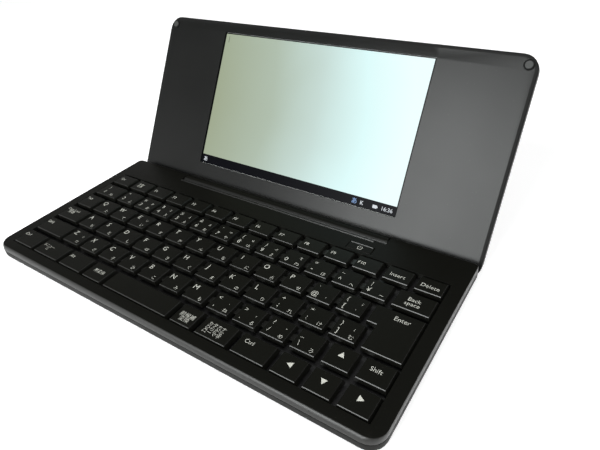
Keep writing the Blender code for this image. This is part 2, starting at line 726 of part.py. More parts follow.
def make_battery(root, surface):
    """Make the flat battery pack behind the keys."""
    outline = rectangle(BATTERY_X - BATTERY_WIDTH / 2, BATTERY_X + BATTERY_WIDTH / 2,
                        BATTERY_Y - BATTERY_DEPTH / 2, BATTERY_Y + BATTERY_DEPTH / 2)
    narrow = inset_polygon(outline, BATTERY_EDGE)
    top = SEAT + BATTERY_HEIGHT
    rings = [at_height(narrow, SEAT), at_height(outline, SEAT + BATTERY_EDGE),
             at_height(outline, top - BATTERY_EDGE), at_height(narrow, top)]
    finish("battery_pack", loft(rings), root, surface=surface)


def make_sockets(root, metal):
    """Make the memory card socket and the charging socket in the left wall."""
    face = -CASE_WIDTH / 2 + WALL + PIECE_GAP
    card = block(face, face + CARD_DEPTH, CARD_Y - CARD_WIDTH / 2, CARD_Y + CARD_WIDTH / 2, SEAT, SEAT + CARD_HEIGHT)
    card_socket = finish("card_socket", card, root, surface=metal)
    slot_half = CARD_WIDTH / 2 - CARD_MOUTH
    slot_low = SEAT + PIECE_GAP
    slot = block(face - CUT_OVERRUN, face + CARD_DEPTH - CARD_MOUTH, CARD_Y - slot_half, CARD_Y + slot_half,
                 slot_low, slot_low + CARD_MOUTH)
    cut(card_socket, finish("card_slot", slot, root))
    charge_face = -CASE_WIDTH / 2 + PIECE_GAP
    shell = block(charge_face, charge_face + CHARGE_DEPTH, CHARGE_Y - CHARGE_WIDTH / 2, CHARGE_Y + CHARGE_WIDTH / 2,
                  SEAT, SEAT + CHARGE_HEIGHT)
    socket = finish("charging_socket", shell, root, surface=metal)
    mouth = inset_polygon(rectangle(CHARGE_Y - CHARGE_WIDTH / 2, CHARGE_Y + CHARGE_WIDTH / 2,
                                    SEAT, SEAT + CHARGE_HEIGHT), CHARGE_WALL)
    depth = charge_face + CHARGE_DEPTH - CHARGE_WALL
    cut(socket, finish("charging_mouth", loft([across(mouth, charge_face - CUT_OVERRUN), across(mouth, depth)]), root))
    tongue = inset_polygon(mouth, (CHARGE_HEIGHT - 2 * CHARGE_WALL) / 3)
    back = depth + CHARGE_WALL / 2
    join(socket, finish("charging_tongue", loft([across(tongue, charge_face + CHARGE_WALL), across(tongue, back)]), root))


def make_power_parts(root, surface, metal):
    """Make the power button and the switch below it."""
    button_y = BUTTON_REAR - BUTTON_DEPTH / 2
    plan = rectangle(-BUTTON_WIDTH / 2, BUTTON_WIDTH / 2, -BUTTON_DEPTH / 2, BUTTON_DEPTH / 2)
    lip_half = BUTTON_WIDTH / 2 + PIECE_GAP + BUTTON_LIP
    lip = rectangle(-lip_half, lip_half, -BUTTON_DEPTH / 2, BUTTON_DEPTH / 2)
    top = DECK_TOP + BUTTON_PROUD
    lip_top = DECK_UNDERSIDE - PIECE_GAP - top
    rings = [at_height(lip, lip_top - BUTTON_LIP_HEIGHT), at_height(lip, lip_top), at_height(plan, lip_top),
             at_height(plan, -BUTTON_EDGE), at_height(inset_polygon(plan, BUTTON_EDGE), 0.0)]
    finish("power_button", loft(rings), root, (BUTTON_X, button_y, top), surface)
    switch_top = top + lip_top - BUTTON_LIP_HEIGHT - BUTTON_TRAVEL - PIECE_GAP
    body = block(-SWITCH_WIDTH / 2, SWITCH_WIDTH / 2, -SWITCH_DEPTH / 2, SWITCH_DEPTH / 2, SEAT, SEAT + SWITCH_HEIGHT)
    switch = finish("power_switch", body, root, (BUTTON_X, button_y, 0.0), metal)
    plunger = upright(PLUNGER_RADIUS, SCREW_STEPS, SEAT + SWITCH_HEIGHT - UNION_OVERLAP, switch_top)
    join(switch, finish("switch_plunger", plunger, root, (BUTTON_X, button_y, 0.0)))


def screw_shape(head_low, head_high, shank_end):
    """Return one screw whose head lies between two heights."""
    head = circle(SCREW_HEAD_RADIUS, SCREW_STEPS)
    shank = circle(SCREW_RADIUS, SCREW_STEPS)
    return loft([at_height(head, head_low), at_height(head, head_high),
                 at_height(shank, head_high), at_height(shank, shank_end)])


def make_case_screws(root, metal):
    """Make the screws that hold the deck to the lower case."""
    head_low = CASE_BOTTOM + SCREW_SUNK
    shank_end = DECK_UNDERSIDE + THREAD_DEPTH - PIECE_GAP
    for node, (x, y) in screw_places().items():
        screw = screw_shape(head_low, head_low + SCREW_HEAD_HEIGHT, shank_end)
        finish(node, screw, root, (x, y, 0.0), metal, smooth=True)


def make_feet(root, surface):
    """Make the rubber feet, part sunk in pockets of the lower case."""
    outline = circle(FOOT_RADIUS, FOOT_STEPS)
    worn = circle(FOOT_RADIUS - FOOT_EDGE, FOOT_STEPS)
    top = CASE_BOTTOM + FOOT_POCKET - PIECE_GAP
    for node, (x, y) in foot_places().items():
        rings = [at_height(worn, 0.0), at_height(outline, FOOT_EDGE), at_height(outline, top)]
        finish(node, loft(rings), root, (x, y, 0.0), surface, smooth=True)


def make_hinge_parts(root, metal):
    """Make the steel brackets in the base and the pins that they hold."""
    start = NOTCH_HALF_WIDTH + WALL + PIECE_GAP
    front = NOTCH_FRONT + PIECE_GAP
    rear = CASE_DEPTH - WALL - PIECE_GAP
    for side, name in ((-1, "left"), (1, "right")):
        low, high = sorted((side * start, side * (start + BRACKET_LENGTH)))
        bracket = finish(f"hinge_bracket_{name}", block(low, high, front - HINGE_Y, rear - HINGE_Y,
                                                       SEAT - HINGE_Z, DECK_UNDERSIDE - PIECE_GAP - HINGE_Z),
                         root, (0.0, HINGE_Y, HINGE_Z), metal)
        bore = rod(PIN_RADIUS + PIECE_GAP, PIN_STEPS, low - CUT_OVERRUN, high + CUT_OVERRUN)
        cut(bracket, finish(f"bracket_bore_{name}", bore, root, (0.0, HINGE_Y, HINGE_Z)))
        inner = BARREL_LENGTH / 2 - PIN_GRIP
        pin_low, pin_high = sorted((side * inner, side * (BARREL_LENGTH / 2 + PIN_REACH)))
        finish(f"hinge_pin_{name}", rod(PIN_RADIUS, PIN_STEPS, pin_low, pin_high), root,
               (0.0, HINGE_Y, HINGE_Z), metal, smooth=True)


def cable_cutter(name, lid, low, high):
    """Return the tool for the display cable's slot."""
    half_width = CABLE_WIDTH / 2 + PIECE_GAP
    half_depth = CABLE_THICKNESS / 2 + PIECE_GAP
    slot = block(CABLE_X - half_width, CABLE_X + half_width, -CABLE_LINE - half_depth, -CABLE_LINE + half_depth,
                 low, high)
    return finish(name, slot, lid)


def make_hinge_barrel(lid, surface):
    """Make the round bar that carries the lid, with a bore for a pin in each end."""
    half = BARREL_LENGTH / 2
    barrel = finish("hinge_barrel", rod(BARREL_RADIUS, BARREL_STEPS, -half, half), lid, surface=surface, smooth=True)
    neck = block(-half, half, -NECK_FRONT, NECK_REAR, NECK_LOW, BEZEL_FACE - PIECE_GAP)
    join(barrel, finish("barrel_neck", neck, lid))
    for side in (-1, 1):
        low, high = sorted((side * (half - PIN_GRIP - PIN_END_ROOM), side * (half + CUT_OVERRUN)))
        cut(barrel, finish(f"barrel_bore_{side}", rod(PIN_RADIUS + PIECE_GAP, PIN_STEPS, low, high), lid))
    cut(barrel, cable_cutter("barrel_cable_slot", lid, CABLE_END - PIECE_GAP, BEZEL_FACE))


def bumper_places():
    """Return each bumper's node and place on the closed lid."""
    x = CASE_WIDTH / 2 - BUMPER_SIDE
    y = BUMPER_FRONT - LID_REACH
    return {"bumper_left": (-x, y), "bumper_right": (x, y)}


def screen_outline(margin):
    """Return the plan of the display's window, widened by a margin."""
    half_width = SCREEN_WIDTH / 2 + margin
    radius = SCREEN_CORNER + margin
    return rounded_rectangle(-half_width, half_width, -SCREEN_HIGH - margin, margin - SCREEN_LOW, radius, radius)


def scoop_cutter(lid):
    """Return the tool for the shallow finger scoop between the display and the lid's free edge."""
    edge = LID_REACH + UNION_OVERLAP
    narrow = SCOOP_HALF_WIDTH - SCOOP_END_RUN
    sections = ((SCOOP_START, 0.0, SCOOP_HALF_WIDTH), (SCOOP_BREAK, SCOOP_BREAK_DEPTH, narrow),
                (edge, SCOOP_EDGE_DEPTH, narrow))
    rings = []
    for reach, depth, half_width in sections:
        floor = BEZEL_FACE + depth
        above = BEZEL_FACE - CUT_OVERRUN
        rings.append([Vector((half_width, -reach, floor)), Vector((SCOOP_HALF_WIDTH, -reach, BEZEL_FACE)),
                      Vector((SCOOP_HALF_WIDTH, -reach, above)), Vector((-SCOOP_HALF_WIDTH, -reach, above)),
                      Vector((-SCOOP_HALF_WIDTH, -reach, BEZEL_FACE)), Vector((-half_width, -reach, floor))])
    shape = loft(rings)
    bmesh.ops.remove_doubles(shape, verts=shape.verts, dist=PIECE_GAP / 100)
    return finish("finger_scoop", shape, lid)


def lid_screw_levels():
    """Return where the heads of the lid's screws lie below their bumpers, and where their shanks end."""
    pocket_floor = BEZEL_FACE + BUMPER_SEAT + PIECE_GAP
    head_low = pocket_floor + LID_SCREW_HEAD_DROP
    head_high = head_low + SCREW_HEAD_HEIGHT
    boss_end = BEZEL_BACK + BEZEL_FLANGE_HEIGHT
    shank_end = COVER_CEILING - COVER_PLATE / 2
    return pocket_floor, head_low, head_high, boss_end, shank_end


def make_lid_bezel(lid, surface):
    """Make the inner shell of the lid, round the display."""
    half_edge = BEZEL_EDGE / 2
    rings = [lid_ring(BEZEL_FACE, BEZEL_EDGE), lid_ring(BEZEL_FACE + half_edge, half_edge / 2),
             lid_ring(BEZEL_FACE + BEZEL_EDGE, 0.0), lid_ring(BEZEL_BACK, 0.0)]
    bezel = finish("lid_bezel", loft(rings), lid, surface=surface)
    outer_inset = WALL + PIECE_GAP
    outer = lid_outline(outer_inset, -COVER_REAR_WALL - PIECE_GAP)
    inner = lid_outline(outer_inset + BEZEL_FLANGE, -COVER_REAR_WALL - PIECE_GAP - BEZEL_FLANGE)
    flange = ring_prism(outer, inner, BEZEL_BACK - UNION_OVERLAP, BEZEL_BACK + BEZEL_FLANGE_HEIGHT)
    join(bezel, finish("bezel_flange", flange, lid))
    pocket_floor, _, head_high, boss_end, _ = lid_screw_levels()
    for node, (x, y) in bumper_places().items():
        boss = upright(SCREW_HEAD_RADIUS + PIECE_GAP + WALL / 2, SCREW_STEPS, BEZEL_BACK - UNION_OVERLAP, boss_end)
        join(bezel, finish(f"{node}_boss", boss, lid, (x, y, 0.0)))
    for node, (x, y) in bumper_places().items():
        pocket = upright(BUMPER_RADIUS + PIECE_GAP, BUMPER_STEPS, BEZEL_FACE - CUT_OVERRUN, pocket_floor)
        head = upright(SCREW_HEAD_RADIUS + PIECE_GAP, SCREW_STEPS, BEZEL_FACE - CUT_OVERRUN, head_high + PIECE_GAP)
        bore = upright(SCREW_RADIUS + PIECE_GAP, SCREW_STEPS, BEZEL_FACE, boss_end + CUT_OVERRUN)
        cut(bezel, finish(f"{node}_pocket", pocket, lid, (x, y, 0.0)),
            finish(f"{node}_head_recess", head, lid, (x, y, 0.0)), finish(f"{node}_bore", bore, lid, (x, y, 0.0)))
    window = prism(screen_outline(PIECE_GAP), BEZEL_FACE - CUT_OVERRUN, BEZEL_BACK + CUT_OVERRUN)
    cut(bezel, finish("screen_window", window, lid), scoop_cutter(lid))
    cut(bezel, cable_cutter("bezel_cable_slot", lid, BEZEL_FACE - CUT_OVERRUN,
                            BEZEL_BACK + BEZEL_FLANGE_HEIGHT + CUT_OVERRUN))


def make_lid_cover(lid, surface):
    """Make the outer shell of the lid."""
    cover = finish("lid_back_cover", loft(cover_rings()), lid, surface=surface)
    hollow = prism(lid_outline(WALL, -COVER_REAR_WALL), COVER_LOW - CUT_OVERRUN, COVER_CEILING)
    cut(cover, finish("cover_hollow", hollow, lid))
    boss_low = BEZEL_BACK + BEZEL_FLANGE_HEIGHT + PIECE_GAP
    shank_end = lid_screw_levels()[-1]
    for node, (x, y) in bumper_places().items():
        boss = upright(BOSS_RADIUS, SCREW_STEPS, boss_low, COVER_CEILING + UNION_OVERLAP)
        join(cover, finish(f"{node}_cover_boss", boss, lid, (x, y, 0.0)))
        bore = upright(SCREW_RADIUS + PIECE_GAP, SCREW_STEPS, boss_low - CUT_OVERRUN, shank_end + PIECE_GAP)
        cut(cover, finish(f"{node}_cover_bore", bore, lid, (x, y, 0.0)))


def make_lid_screws(lid, metal):
    """Make the screws below the bumpers."""
    _, head_low, head_high, _, shank_end = lid_screw_levels()
    for node, (x, y) in zip(("lid_screw_left", "lid_screw_right"), bumper_places().values()):
        finish(node, screw_shape(head_low, head_high, shank_end), lid, (x, y, 0.0), metal, smooth=True)


def make_bumpers(lid, surface):
    """Make the rubber bumpers on the lid's free corners."""
    outline = circle(BUMPER_RADIUS, BUMPER_STEPS)
    crown = circle(BUMPER_RADIUS - BUMPER_EDGE, BUMPER_STEPS)
    for node, (x, y) in bumper_places().items():
        rings = [at_height(crown, BEZEL_FACE - BUMPER_PROUD), at_height(outline, BEZEL_FACE - BUMPER_PROUD + BUMPER_EDGE),
                 at_height(outline, BEZEL_FACE + BUMPER_SEAT)]
        finish(node, loft(rings), lid, (x, y, 0.0), surface, smooth=True)


def make_display(lid, screen_surface, metal):
    """Make the display's screen and the backlight in its folded steel case."""
    screen_back = SCREEN_FACE + SCREEN_THICKNESS
    finish("lcd_screen", prism(screen_outline(0.0), SCREEN_FACE, screen_back), lid, surface=screen_surface)
    half_width = SCREEN_WIDTH / 2 + BACKLIGHT_LAP
    outline = rectangle(-half_width, half_width, -SCREEN_HIGH - BACKLIGHT_BELOW, BACKLIGHT_BELOW - SCREEN_LOW)
    backlight_low = screen_back + PIECE_GAP
    backlight_high = backlight_low + BACKLIGHT_THICKNESS
    folded = inset_polygon(outline, BACKLIGHT_FOLD)
    rings = [at_height(outline, backlight_low), at_height(outline, backlight_high - BACKLIGHT_FOLD),
             at_height(folded, backlight_high)]
    finish("lcd_backlight", loft(rings), lid, surface=metal)


def make_lid_electronics(lid, green, amber, metal):
    """Make the display's driver board, its cable and the closing magnet."""
    board_low = BEZEL_BACK + DRIVER_DROP
    board_high = board_low + DRIVER_THICKNESS
    board = block(DRIVER_X - DRIVER_WIDTH / 2, DRIVER_X + DRIVER_WIDTH / 2, -DRIVER_HIGH, -DRIVER_LOW,
                  board_low, board_high)
    finish("display_driver_board", board, lid, surface=green)
    near = -CABLE_LINE + CABLE_THICKNESS / 2
    far = -CABLE_LINE - CABLE_THICKNESS / 2
    lay = BEZEL_BACK + BEZEL_FLANGE_HEIGHT + PIECE_GAP
    profile = [Vector((near, CABLE_END)), Vector((near, lay + CABLE_THICKNESS)),
               Vector((-CABLE_LAND, lay + CABLE_THICKNESS)), Vector((-CABLE_LAND, lay)),
               Vector((far, lay)), Vector((far, CABLE_END))]
    half_width = CABLE_WIDTH / 2
    cable = loft([across(profile, CABLE_X - half_width), across(profile, CABLE_X + half_width)])
    finish("display_cable", cable, lid, surface=amber)
    magnet_low = BEZEL_BACK + DRIVER_DROP
    magnet = block(MAGNET_X - MAGNET_LENGTH / 2, MAGNET_X + MAGNET_LENGTH / 2,
                   -MAGNET_REACH - MAGNET_WIDTH / 2, MAGNET_WIDTH / 2 - MAGNET_REACH,
                   magnet_low, magnet_low + MAGNET_THICKNESS)
    finish("lid_magnet", magnet, lid, surface=metal)


def open_depth():
    """Return how far back the open lid reaches from the front of the case."""
    turn = Matrix.Rotation(-math.radians(LID_OPEN_DEGREES), 3, "X")
    rings = cover_rings()
    return HINGE_Y + max((turn @ point).y for ring in rings for point in ring)


def main():
    """Build the word processor, lid open, standing on its feet about the middle of its footprint."""
    clear_scene()
    shell_black = make_material("shell_black", NEAR_BLACK, 0.5)
    lid_grey = make_material("lid_grey", DARK_GREY, 0.4)
    key_black = make_material("key_black", KEY_BLACK, 0.45)
    rubber = make_material("rubber", DARK_GREY, 0.8)
    steel = make_material("steel", STEEL_GREY, 0.3, 1.0)
    board_green = make_material("board_green", BOARD_GREEN, 0.5)
    film = make_material("film", FILM_AMBER, 0.4)
    screen_pale = make_material("screen_pale", SCREEN_PALE, 0.15)
    battery_grey = make_material("battery_grey", BATTERY_GREY, 0.6)

    root = make_empty("word_processor", (0.0, -open_depth() / 2, 0.0))
    lid = make_empty("lid_hinge", (0.0, HINGE_Y, HINGE_Z), root)
    lid.rotation_euler = (-math.radians(LID_OPEN_DEGREES), 0.0, 0.0)

    make_lower_case(root, shell_black)
    make_deck_frame(root, shell_black)
    stems = make_keys(root, key_black)
    make_keyboard_plate(root, stems, steel)
    make_membrane(root, film)
    make_main_board(root, board_green)
    make_battery(root, battery_grey)
    make_sockets(root, steel)
    make_power_parts(root, shell_black, steel)
    make_case_screws(root, steel)
    make_feet(root, rubber)
    make_hinge_parts(root, steel)

    make_hinge_barrel(lid, shell_black)
    make_lid_bezel(lid, lid_grey)
    make_lid_cover(lid, shell_black)
    make_lid_screws(lid, steel)
    make_bumpers(lid, rubber)
    make_display(lid, screen_pale, steel)
    make_lid_electronics(lid, board_green, film, steel)


main()
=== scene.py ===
"""Studio scene of a pocket word processor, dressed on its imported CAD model.

The shells, the key caps and the small parts are the CAD shapes with their edges rounded and a finish for each
material. The legends, the signs on the screen and the small trim are modelled on them.
"""

import json
import logging
import math
from dataclasses import dataclass, field
from enum import Enum
from typing import Callable, Iterable, Union

import bmesh
import bpy
from mathutils import Matrix, Vector


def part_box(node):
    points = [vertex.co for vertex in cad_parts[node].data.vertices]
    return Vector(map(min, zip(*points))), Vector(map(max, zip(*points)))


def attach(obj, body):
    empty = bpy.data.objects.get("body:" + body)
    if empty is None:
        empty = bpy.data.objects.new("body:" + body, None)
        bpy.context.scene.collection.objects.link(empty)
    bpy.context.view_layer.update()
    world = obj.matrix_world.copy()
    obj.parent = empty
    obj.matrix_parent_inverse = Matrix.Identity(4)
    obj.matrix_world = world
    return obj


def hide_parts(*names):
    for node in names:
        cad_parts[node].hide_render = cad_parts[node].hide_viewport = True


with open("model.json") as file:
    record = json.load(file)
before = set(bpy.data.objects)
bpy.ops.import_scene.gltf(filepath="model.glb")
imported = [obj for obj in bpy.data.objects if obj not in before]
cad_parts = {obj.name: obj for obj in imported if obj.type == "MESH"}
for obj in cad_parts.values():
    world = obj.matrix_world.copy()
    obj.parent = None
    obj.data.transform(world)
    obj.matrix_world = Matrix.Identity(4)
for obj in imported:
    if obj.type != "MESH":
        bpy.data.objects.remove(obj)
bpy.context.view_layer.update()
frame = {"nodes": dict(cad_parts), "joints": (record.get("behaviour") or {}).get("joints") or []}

LOG = logging.getLogger("word_processor")

Colour = tuple[float, float, float]
Point = tuple[float, float, float]


class Body(Enum):
    """The CAD bodies that pieces ride on by name."""

    BASE = "base"
    LID = "lid"
    BUTTON = "power_button"


class Slot(Enum):
    """The record's material slots; the lid's shells are listed with one, which nothing reads."""

    SHELL = "shell"
    LID_FACE = "lid_face"
    KEYCAP = "keycap"
    SCREEN = "screen"


class Signal:
    """One output of a shader's nodes, with arithmetic that adds Math nodes."""

    def __init__(self, graph: "Graph", socket: bpy.types.NodeSocket) -> None:
        """Wrap a socket of a graph.

        Args:
            graph: the graph that the socket belongs to.
            socket: the output socket.
        """
        self.graph = graph
        self.socket = socket

    def __add__(self, other: "Number") -> "Signal":
        """Return the sum."""
        return self.graph.maths("ADD", self, other)

    __radd__ = __add__

    def __mul__(self, other: "Number") -> "Signal":
        """Return the product."""
        return self.graph.maths("MULTIPLY", self, other)

    __rmul__ = __mul__

    def __sub__(self, other: "Number") -> "Signal":
        """Return the difference."""
        return self.graph.maths("SUBTRACT", self, other)

    def __rsub__(self, other: "Number") -> "Signal":
        """Return the difference the other way round."""
        return self.graph.maths("SUBTRACT", other, self)

    def __truediv__(self, other: "Number") -> "Signal":
        """Return the quotient."""
        return self.graph.maths("DIVIDE", self, other)

    def __gt__(self, other: "Number") -> "Signal":
        """Return 1 where this is the greater, or else 0."""
        return self.graph.maths("GREATER_THAN", self, other)

    def __abs__(self) -> "Signal":
        """Return the size without its sign."""
        return self.graph.maths("ABSOLUTE", self)

    def either(self, other: "Number") -> "Signal":
        """Return the greater of the two."""
        return self.graph.maths("MAXIMUM", self, other)

    def both(self, other: "Number") -> "Signal":
        """Return the lesser of the two."""
        return self.graph.maths("MINIMUM", self, other)

    def ramp(self, low: float, high: float, start: float = 0.0, end: float = 1.0) -> "Signal":
        """Map a range smoothly onto another.

        Args:
            low: the value that gives start.
            high: the value that gives end.
            start: the result at low and below.
            end: the result at high and above.

        Returns:
            The mapped signal.
        """
        node = self.graph.node("ShaderNodeMapRange", {"interpolation_type": "SMOOTHSTEP"}, {
            "Value": self, "From Min": low, "From Max": high, "To Min": start, "To Max": end})
        return Signal(self.graph, node.outputs[0])


Number = Union[float, Signal]


class Graph:
    """The nodes of one material or world."""

    def __init__(self, name: str, world: bool = False) -> None:
        """Start an empty material or world.

        Args:
            name: its name.
            world: whether it is a world.
        """
        self.owner = (bpy.data.worlds if world else bpy.data.materials).new(name)
        self.owner.use_nodes = True
        self.tree = self.owner.node_tree
        self.tree.nodes.clear()

    def node(self, kind: str, settings: dict | None = None, inputs: dict | None = None) -> bpy.types.Node:
        """Add a node.

        Args:
            kind: the node's type.
            settings: its properties, set first.
            inputs: values or signals by the socket's name or number.

        Returns:
            The node.
        """
        node = self.tree.nodes.new(kind)
        for name, value in (settings or {}).items():
            setattr(node, name, value)
        for key, value in (inputs or {}).items():
            socket = node.inputs[key]
            if isinstance(value, Signal):
                self.tree.links.new(value.socket, socket)
            elif isinstance(value, bpy.types.NodeSocket):
                self.tree.links.new(value, socket)
            elif isinstance(value, (tuple, list)) and len(value) == 3 and socket.type == "RGBA":
                socket.default_value = (*value, 1.0)
            else:
                socket.default_value = value
        return node

    def maths(self, operation: str, *values: Number) -> Signal:
        """Add a Math node on one, two or three values."""
        node = self.node("ShaderNodeMath", {"operation": operation}, dict(enumerate(values)))
        return Signal(self, node.outputs[0])

    def place(self, offset: Point = (0.0, 0.0, 0.0), turn: float = 0.0) -> bpy.types.NodeSocket:
        """Return the place on the object.

        Args:
            offset: the point that becomes the origin.
            turn: degrees about X that the place is turned back by, about that point.

        Returns:
            A vector socket.
        """
        place = self.node("ShaderNodeTexCoord").outputs["Object"]
        if offset == (0.0, 0.0, 0.0) and not turn:
            return place
        mapping = self.node("ShaderNodeMapping", {"vector_type": "TEXTURE"}, {
            "Vector": place, "Location": offset, "Rotation": (math.radians(turn), 0.0, 0.0)})
        return mapping.outputs[0]

    def axes(self, place: bpy.types.NodeSocket) -> tuple[Signal, Signal, Signal]:
        """Return the three parts of a place."""
        parts = self.node("ShaderNodeSeparateXYZ", None, {0: place})
        return tuple(Signal(self, output) for output in parts.outputs)

    def noise(self, size: float, detail: float = 2.0, place: bpy.types.NodeSocket | None = None) -> Signal:
        """Return smooth noise.

        Args:
            size: the size of its spots in metres.
            detail: how many finer layers it has.
            place: where it is read, or the place on the object.

        Returns:
            A signal about 0.5.
        """
        node = self.node("ShaderNodeTexNoise", {"noise_dimensions": "3D"}, {
            "Vector": place or self.place(), "Scale": 1.0 / size, "Detail": detail, "Roughness": 0.55})
        return Signal(self, node.outputs[0])

    def cells(self, size: float) -> Signal:
        """Return the distance to the nearest of scattered points about one size apart."""
        node = self.node("ShaderNodeTexVoronoi", {"feature": "F1"}, {
            "Vector": self.place(), "Scale": 1.0 / size})
        return Signal(self, node.outputs[0])

    def blend(self, factor: Number, low: Union[Colour, Signal], high: Union[Colour, Signal]) -> Signal:
        """Return a colour between two colours."""
        node = self.node("ShaderNodeMix", {"data_type": "RGBA"}, {0: factor, 6: low, 7: high})
        return Signal(self, node.outputs[2])

    def bump(self, height: Signal, depth: float) -> Signal:
        """Return the normal of a surface raised by height times depth in metres."""
        node = self.node("ShaderNodeBump", None, {"Strength": 1.0, "Distance": depth, "Height": height})
        return Signal(self, node.outputs[0])

    def surface(self, **inputs: object) -> bpy.types.Material:
        """Finish the material with a Principled surface.

        Args:
            inputs: values or signals by the socket's name, with underscores for its spaces.

        Returns:
            The material.
        """
        named = {name.replace("_", " "): value for name, value in inputs.items()}
        shader = self.node("ShaderNodeBsdfPrincipled", None, named)
        self.node("ShaderNodeOutputMaterial", None, {0: shader.outputs[0]})
        return self.owner


@dataclass(frozen=True)
class MouldedPlastic:
    """Plastic from a spark-eroded mould: a fine grain, faint smudges and a little dust."""

    name: str
    colour: Colour
    roughness: float
    grain: float = 0.00022
    depth: float = 0.000012
    gloss: float = 0.25
    smudge: float = 0.08
    dust: float = 0.05
    tone: float = 0.25
    gleam_below: float = 0.0
    gleam: float = 0.6

    def make(self) -> bpy.types.Material:
        """Return the material."""
        graph = Graph(self.name)
        smears = graph.noise(0.028, 3.0)
        streaks = graph.noise(0.006, 4.0)
        pits = graph.cells(self.grain)
        fine = graph.noise(self.grain * 0.6, 2.0)
        specks = graph.cells(0.0021).ramp(0.075, 0.03)
        shade = smears * self.tone + (1.0 - self.tone / 2)
        base = graph.blend(shade, (0.0, 0.0, 0.0), self.colour)
        dusty = graph.blend(specks * self.dust, base, (0.32, 0.31, 0.28))
        rough = (smears - 0.5) * self.smudge + (streaks - 0.5) * (self.smudge * 0.6) + self.roughness
        inputs = {}
        if self.gleam_below:
            *_, height = graph.axes(graph.place())
            below = height.ramp(self.gleam_below - 0.0002, self.gleam_below, 1.0, 0.0)
            inputs["Coat_Weight"] = below * self.gleam
            inputs["Coat_Roughness"] = self.roughness
        return graph.surface(
            Base_Color=dusty, Roughness=rough + pits * 0.04, Specular_IOR_Level=self.gloss,
            Normal=graph.bump(pits * 0.6 + fine * 0.4, self.depth), **inputs)


@dataclass(frozen=True)
class SatinPaint:
    """Satin paint with a fine orange peel and wiped smears."""

    name: str
    colour: Colour
    roughness: float
    gloss: float
    half_width: float
    reach: float
    corner: float
    rim: float

    def border(self, graph: Graph) -> Signal:
        """Return 1 on the band round the open lid's face, whose colour is painted near black as shade along
        its edge.
        """
        x, y, _ = graph.axes(graph.place(HINGE.axis, -HINGE.open_degrees))
        straight_width = self.half_width - self.corner
        straight_reach = self.reach - self.corner
        side = abs(x).either(straight_width) - straight_width
        top = (0.0 - y).either(straight_reach) - straight_reach
        distance = graph.maths("SQRT", side * side + top * top)
        return distance.ramp(self.corner - self.rim - 0.0001, self.corner - self.rim + 0.0001)

    def make(self) -> bpy.types.Material:
        """Return the material."""
        graph = Graph(self.name)
        rim = self.border(graph)
        wiped = graph.noise(0.035, 4.0)
        peel = graph.noise(0.0006, 2.0)
        flake = graph.cells(0.00016).ramp(0.6, 0.2)
        specks = graph.cells(0.0034).ramp(0.05, 0.02)
        pale = tuple(min(1.0, part * 1.7) for part in self.colour)
        base = graph.blend(flake * 0.35 + wiped * 0.2, self.colour, pale)
        dusty = graph.blend(specks * 0.12, base, (0.4, 0.4, 0.38))
        return graph.surface(
            # The near black on the edge band is painted shade, not a paint of its own; the band is also made
            # rougher.
            Base_Color=graph.blend(rim, dusty, (0.0012, 0.0012, 0.0010)),
            Roughness=rim * 0.35 + (wiped - 0.5) * 0.09 + self.roughness,
            Specular_IOR_Level=self.gloss, Normal=graph.bump(peel, 0.000005))


@dataclass(frozen=True)
class SoftRubber:
    """Dull rubber with a skin of fine bloom."""

    name: str
    colour: Colour
    roughness: float = 0.75

    def make(self) -> bpy.types.Material:
        """Return the material."""
        graph = Graph(self.name)
        bloom = graph.noise(0.0012, 4.0)
        grit = graph.noise(0.00025, 2.0)
        base = graph.blend(bloom, self.colour, tuple(part * 1.6 + 0.004 for part in self.colour))
        return graph.surface(
            Base_Color=base, Roughness=bloom * 0.15 + (self.roughness - 0.07),
            Specular_IOR_Level=0.25, Normal=graph.bump(grit, 0.00002))


@dataclass(frozen=True)
class BumperRubber:
    """The lid's bumpers: a grey crown inside a black ring, which is painted shade for a groove round the
    crown.
    """

    name: str
    colour: Colour
    x: float
    reach: float
    radius: float

    def make(self) -> bpy.types.Material:
        """Return the material."""
        graph = Graph(self.name)
        x, y, _ = graph.axes(graph.place(HINGE.axis, -HINGE.open_degrees))
        across = abs(x) - self.x
        along = y + self.reach
        distance = graph.maths("SQRT", across * across + along * along)
        # Outside the crown the colour is painted near black: painted shade for a groove round it.
        ring = distance.ramp(self.radius - 0.0002, self.radius + 0.0001)
        bloom = graph.noise(0.0009, 4.0)
        crown = graph.blend(bloom, self.colour, tuple(part * 1.5 for part in self.colour))
        return graph.surface(
            Base_Color=graph.blend(ring, crown, (0.0015, 0.0015, 0.0014)),
            Roughness=ring * 0.2 + bloom * 0.1 + 0.5,
            Specular_IOR_Level=0.3, Normal=graph.bump(bloom, 0.00002))


@dataclass(frozen=True)
class TurnedMetal:
    """Metal with fine tool marks and a faint tarnish."""

    name: str
    colour: Colour
    roughness: float = 0.32

    def make(self) -> bpy.types.Material:
        """Return the material."""
        graph = Graph(self.name)
        marks = graph.noise(0.00018, 3.0)
        tarnish = graph.noise(0.0024, 3.0)
        base = graph.blend(tarnish, self.colour, tuple(part * 0.72 for part in self.colour))
        return graph.surface(
            Base_Color=base, Metallic=1.0, Roughness=tarnish * 0.2 + (self.roughness - 0.1),
            Normal=graph.bump(marks, 0.000006))


@dataclass(frozen=True)
class CoatedSheet:
    """A coated board or film with traces or a weave in it."""

    name: str
    colour: Colour
    trace: Colour
    pitch: float
    roughness: float = 0.42

    def make(self) -> bpy.types.Material:
        """Return the material."""
        graph = Graph(self.name)
        x, y, _ = graph.axes(graph.place())
        bend = graph.noise(self.pitch * 7, 1.0) * (self.pitch * 6)
        lines = graph.maths("SINE", (x + bend) * (2 * math.pi / self.pitch)).ramp(0.35, 0.6)
        cross = graph.maths("SINE", (y + bend) * (2 * math.pi / self.pitch / 3)).ramp(0.5, 0.8)
        mask = lines.either(cross)
        return graph.surface(
            Base_Color=graph.blend(mask * 0.8, self.colour, self.trace),
            Roughness=mask * 0.08 + self.roughness,
            Specular_IOR_Level=0.4, Normal=graph.bump(mask, 0.00002))


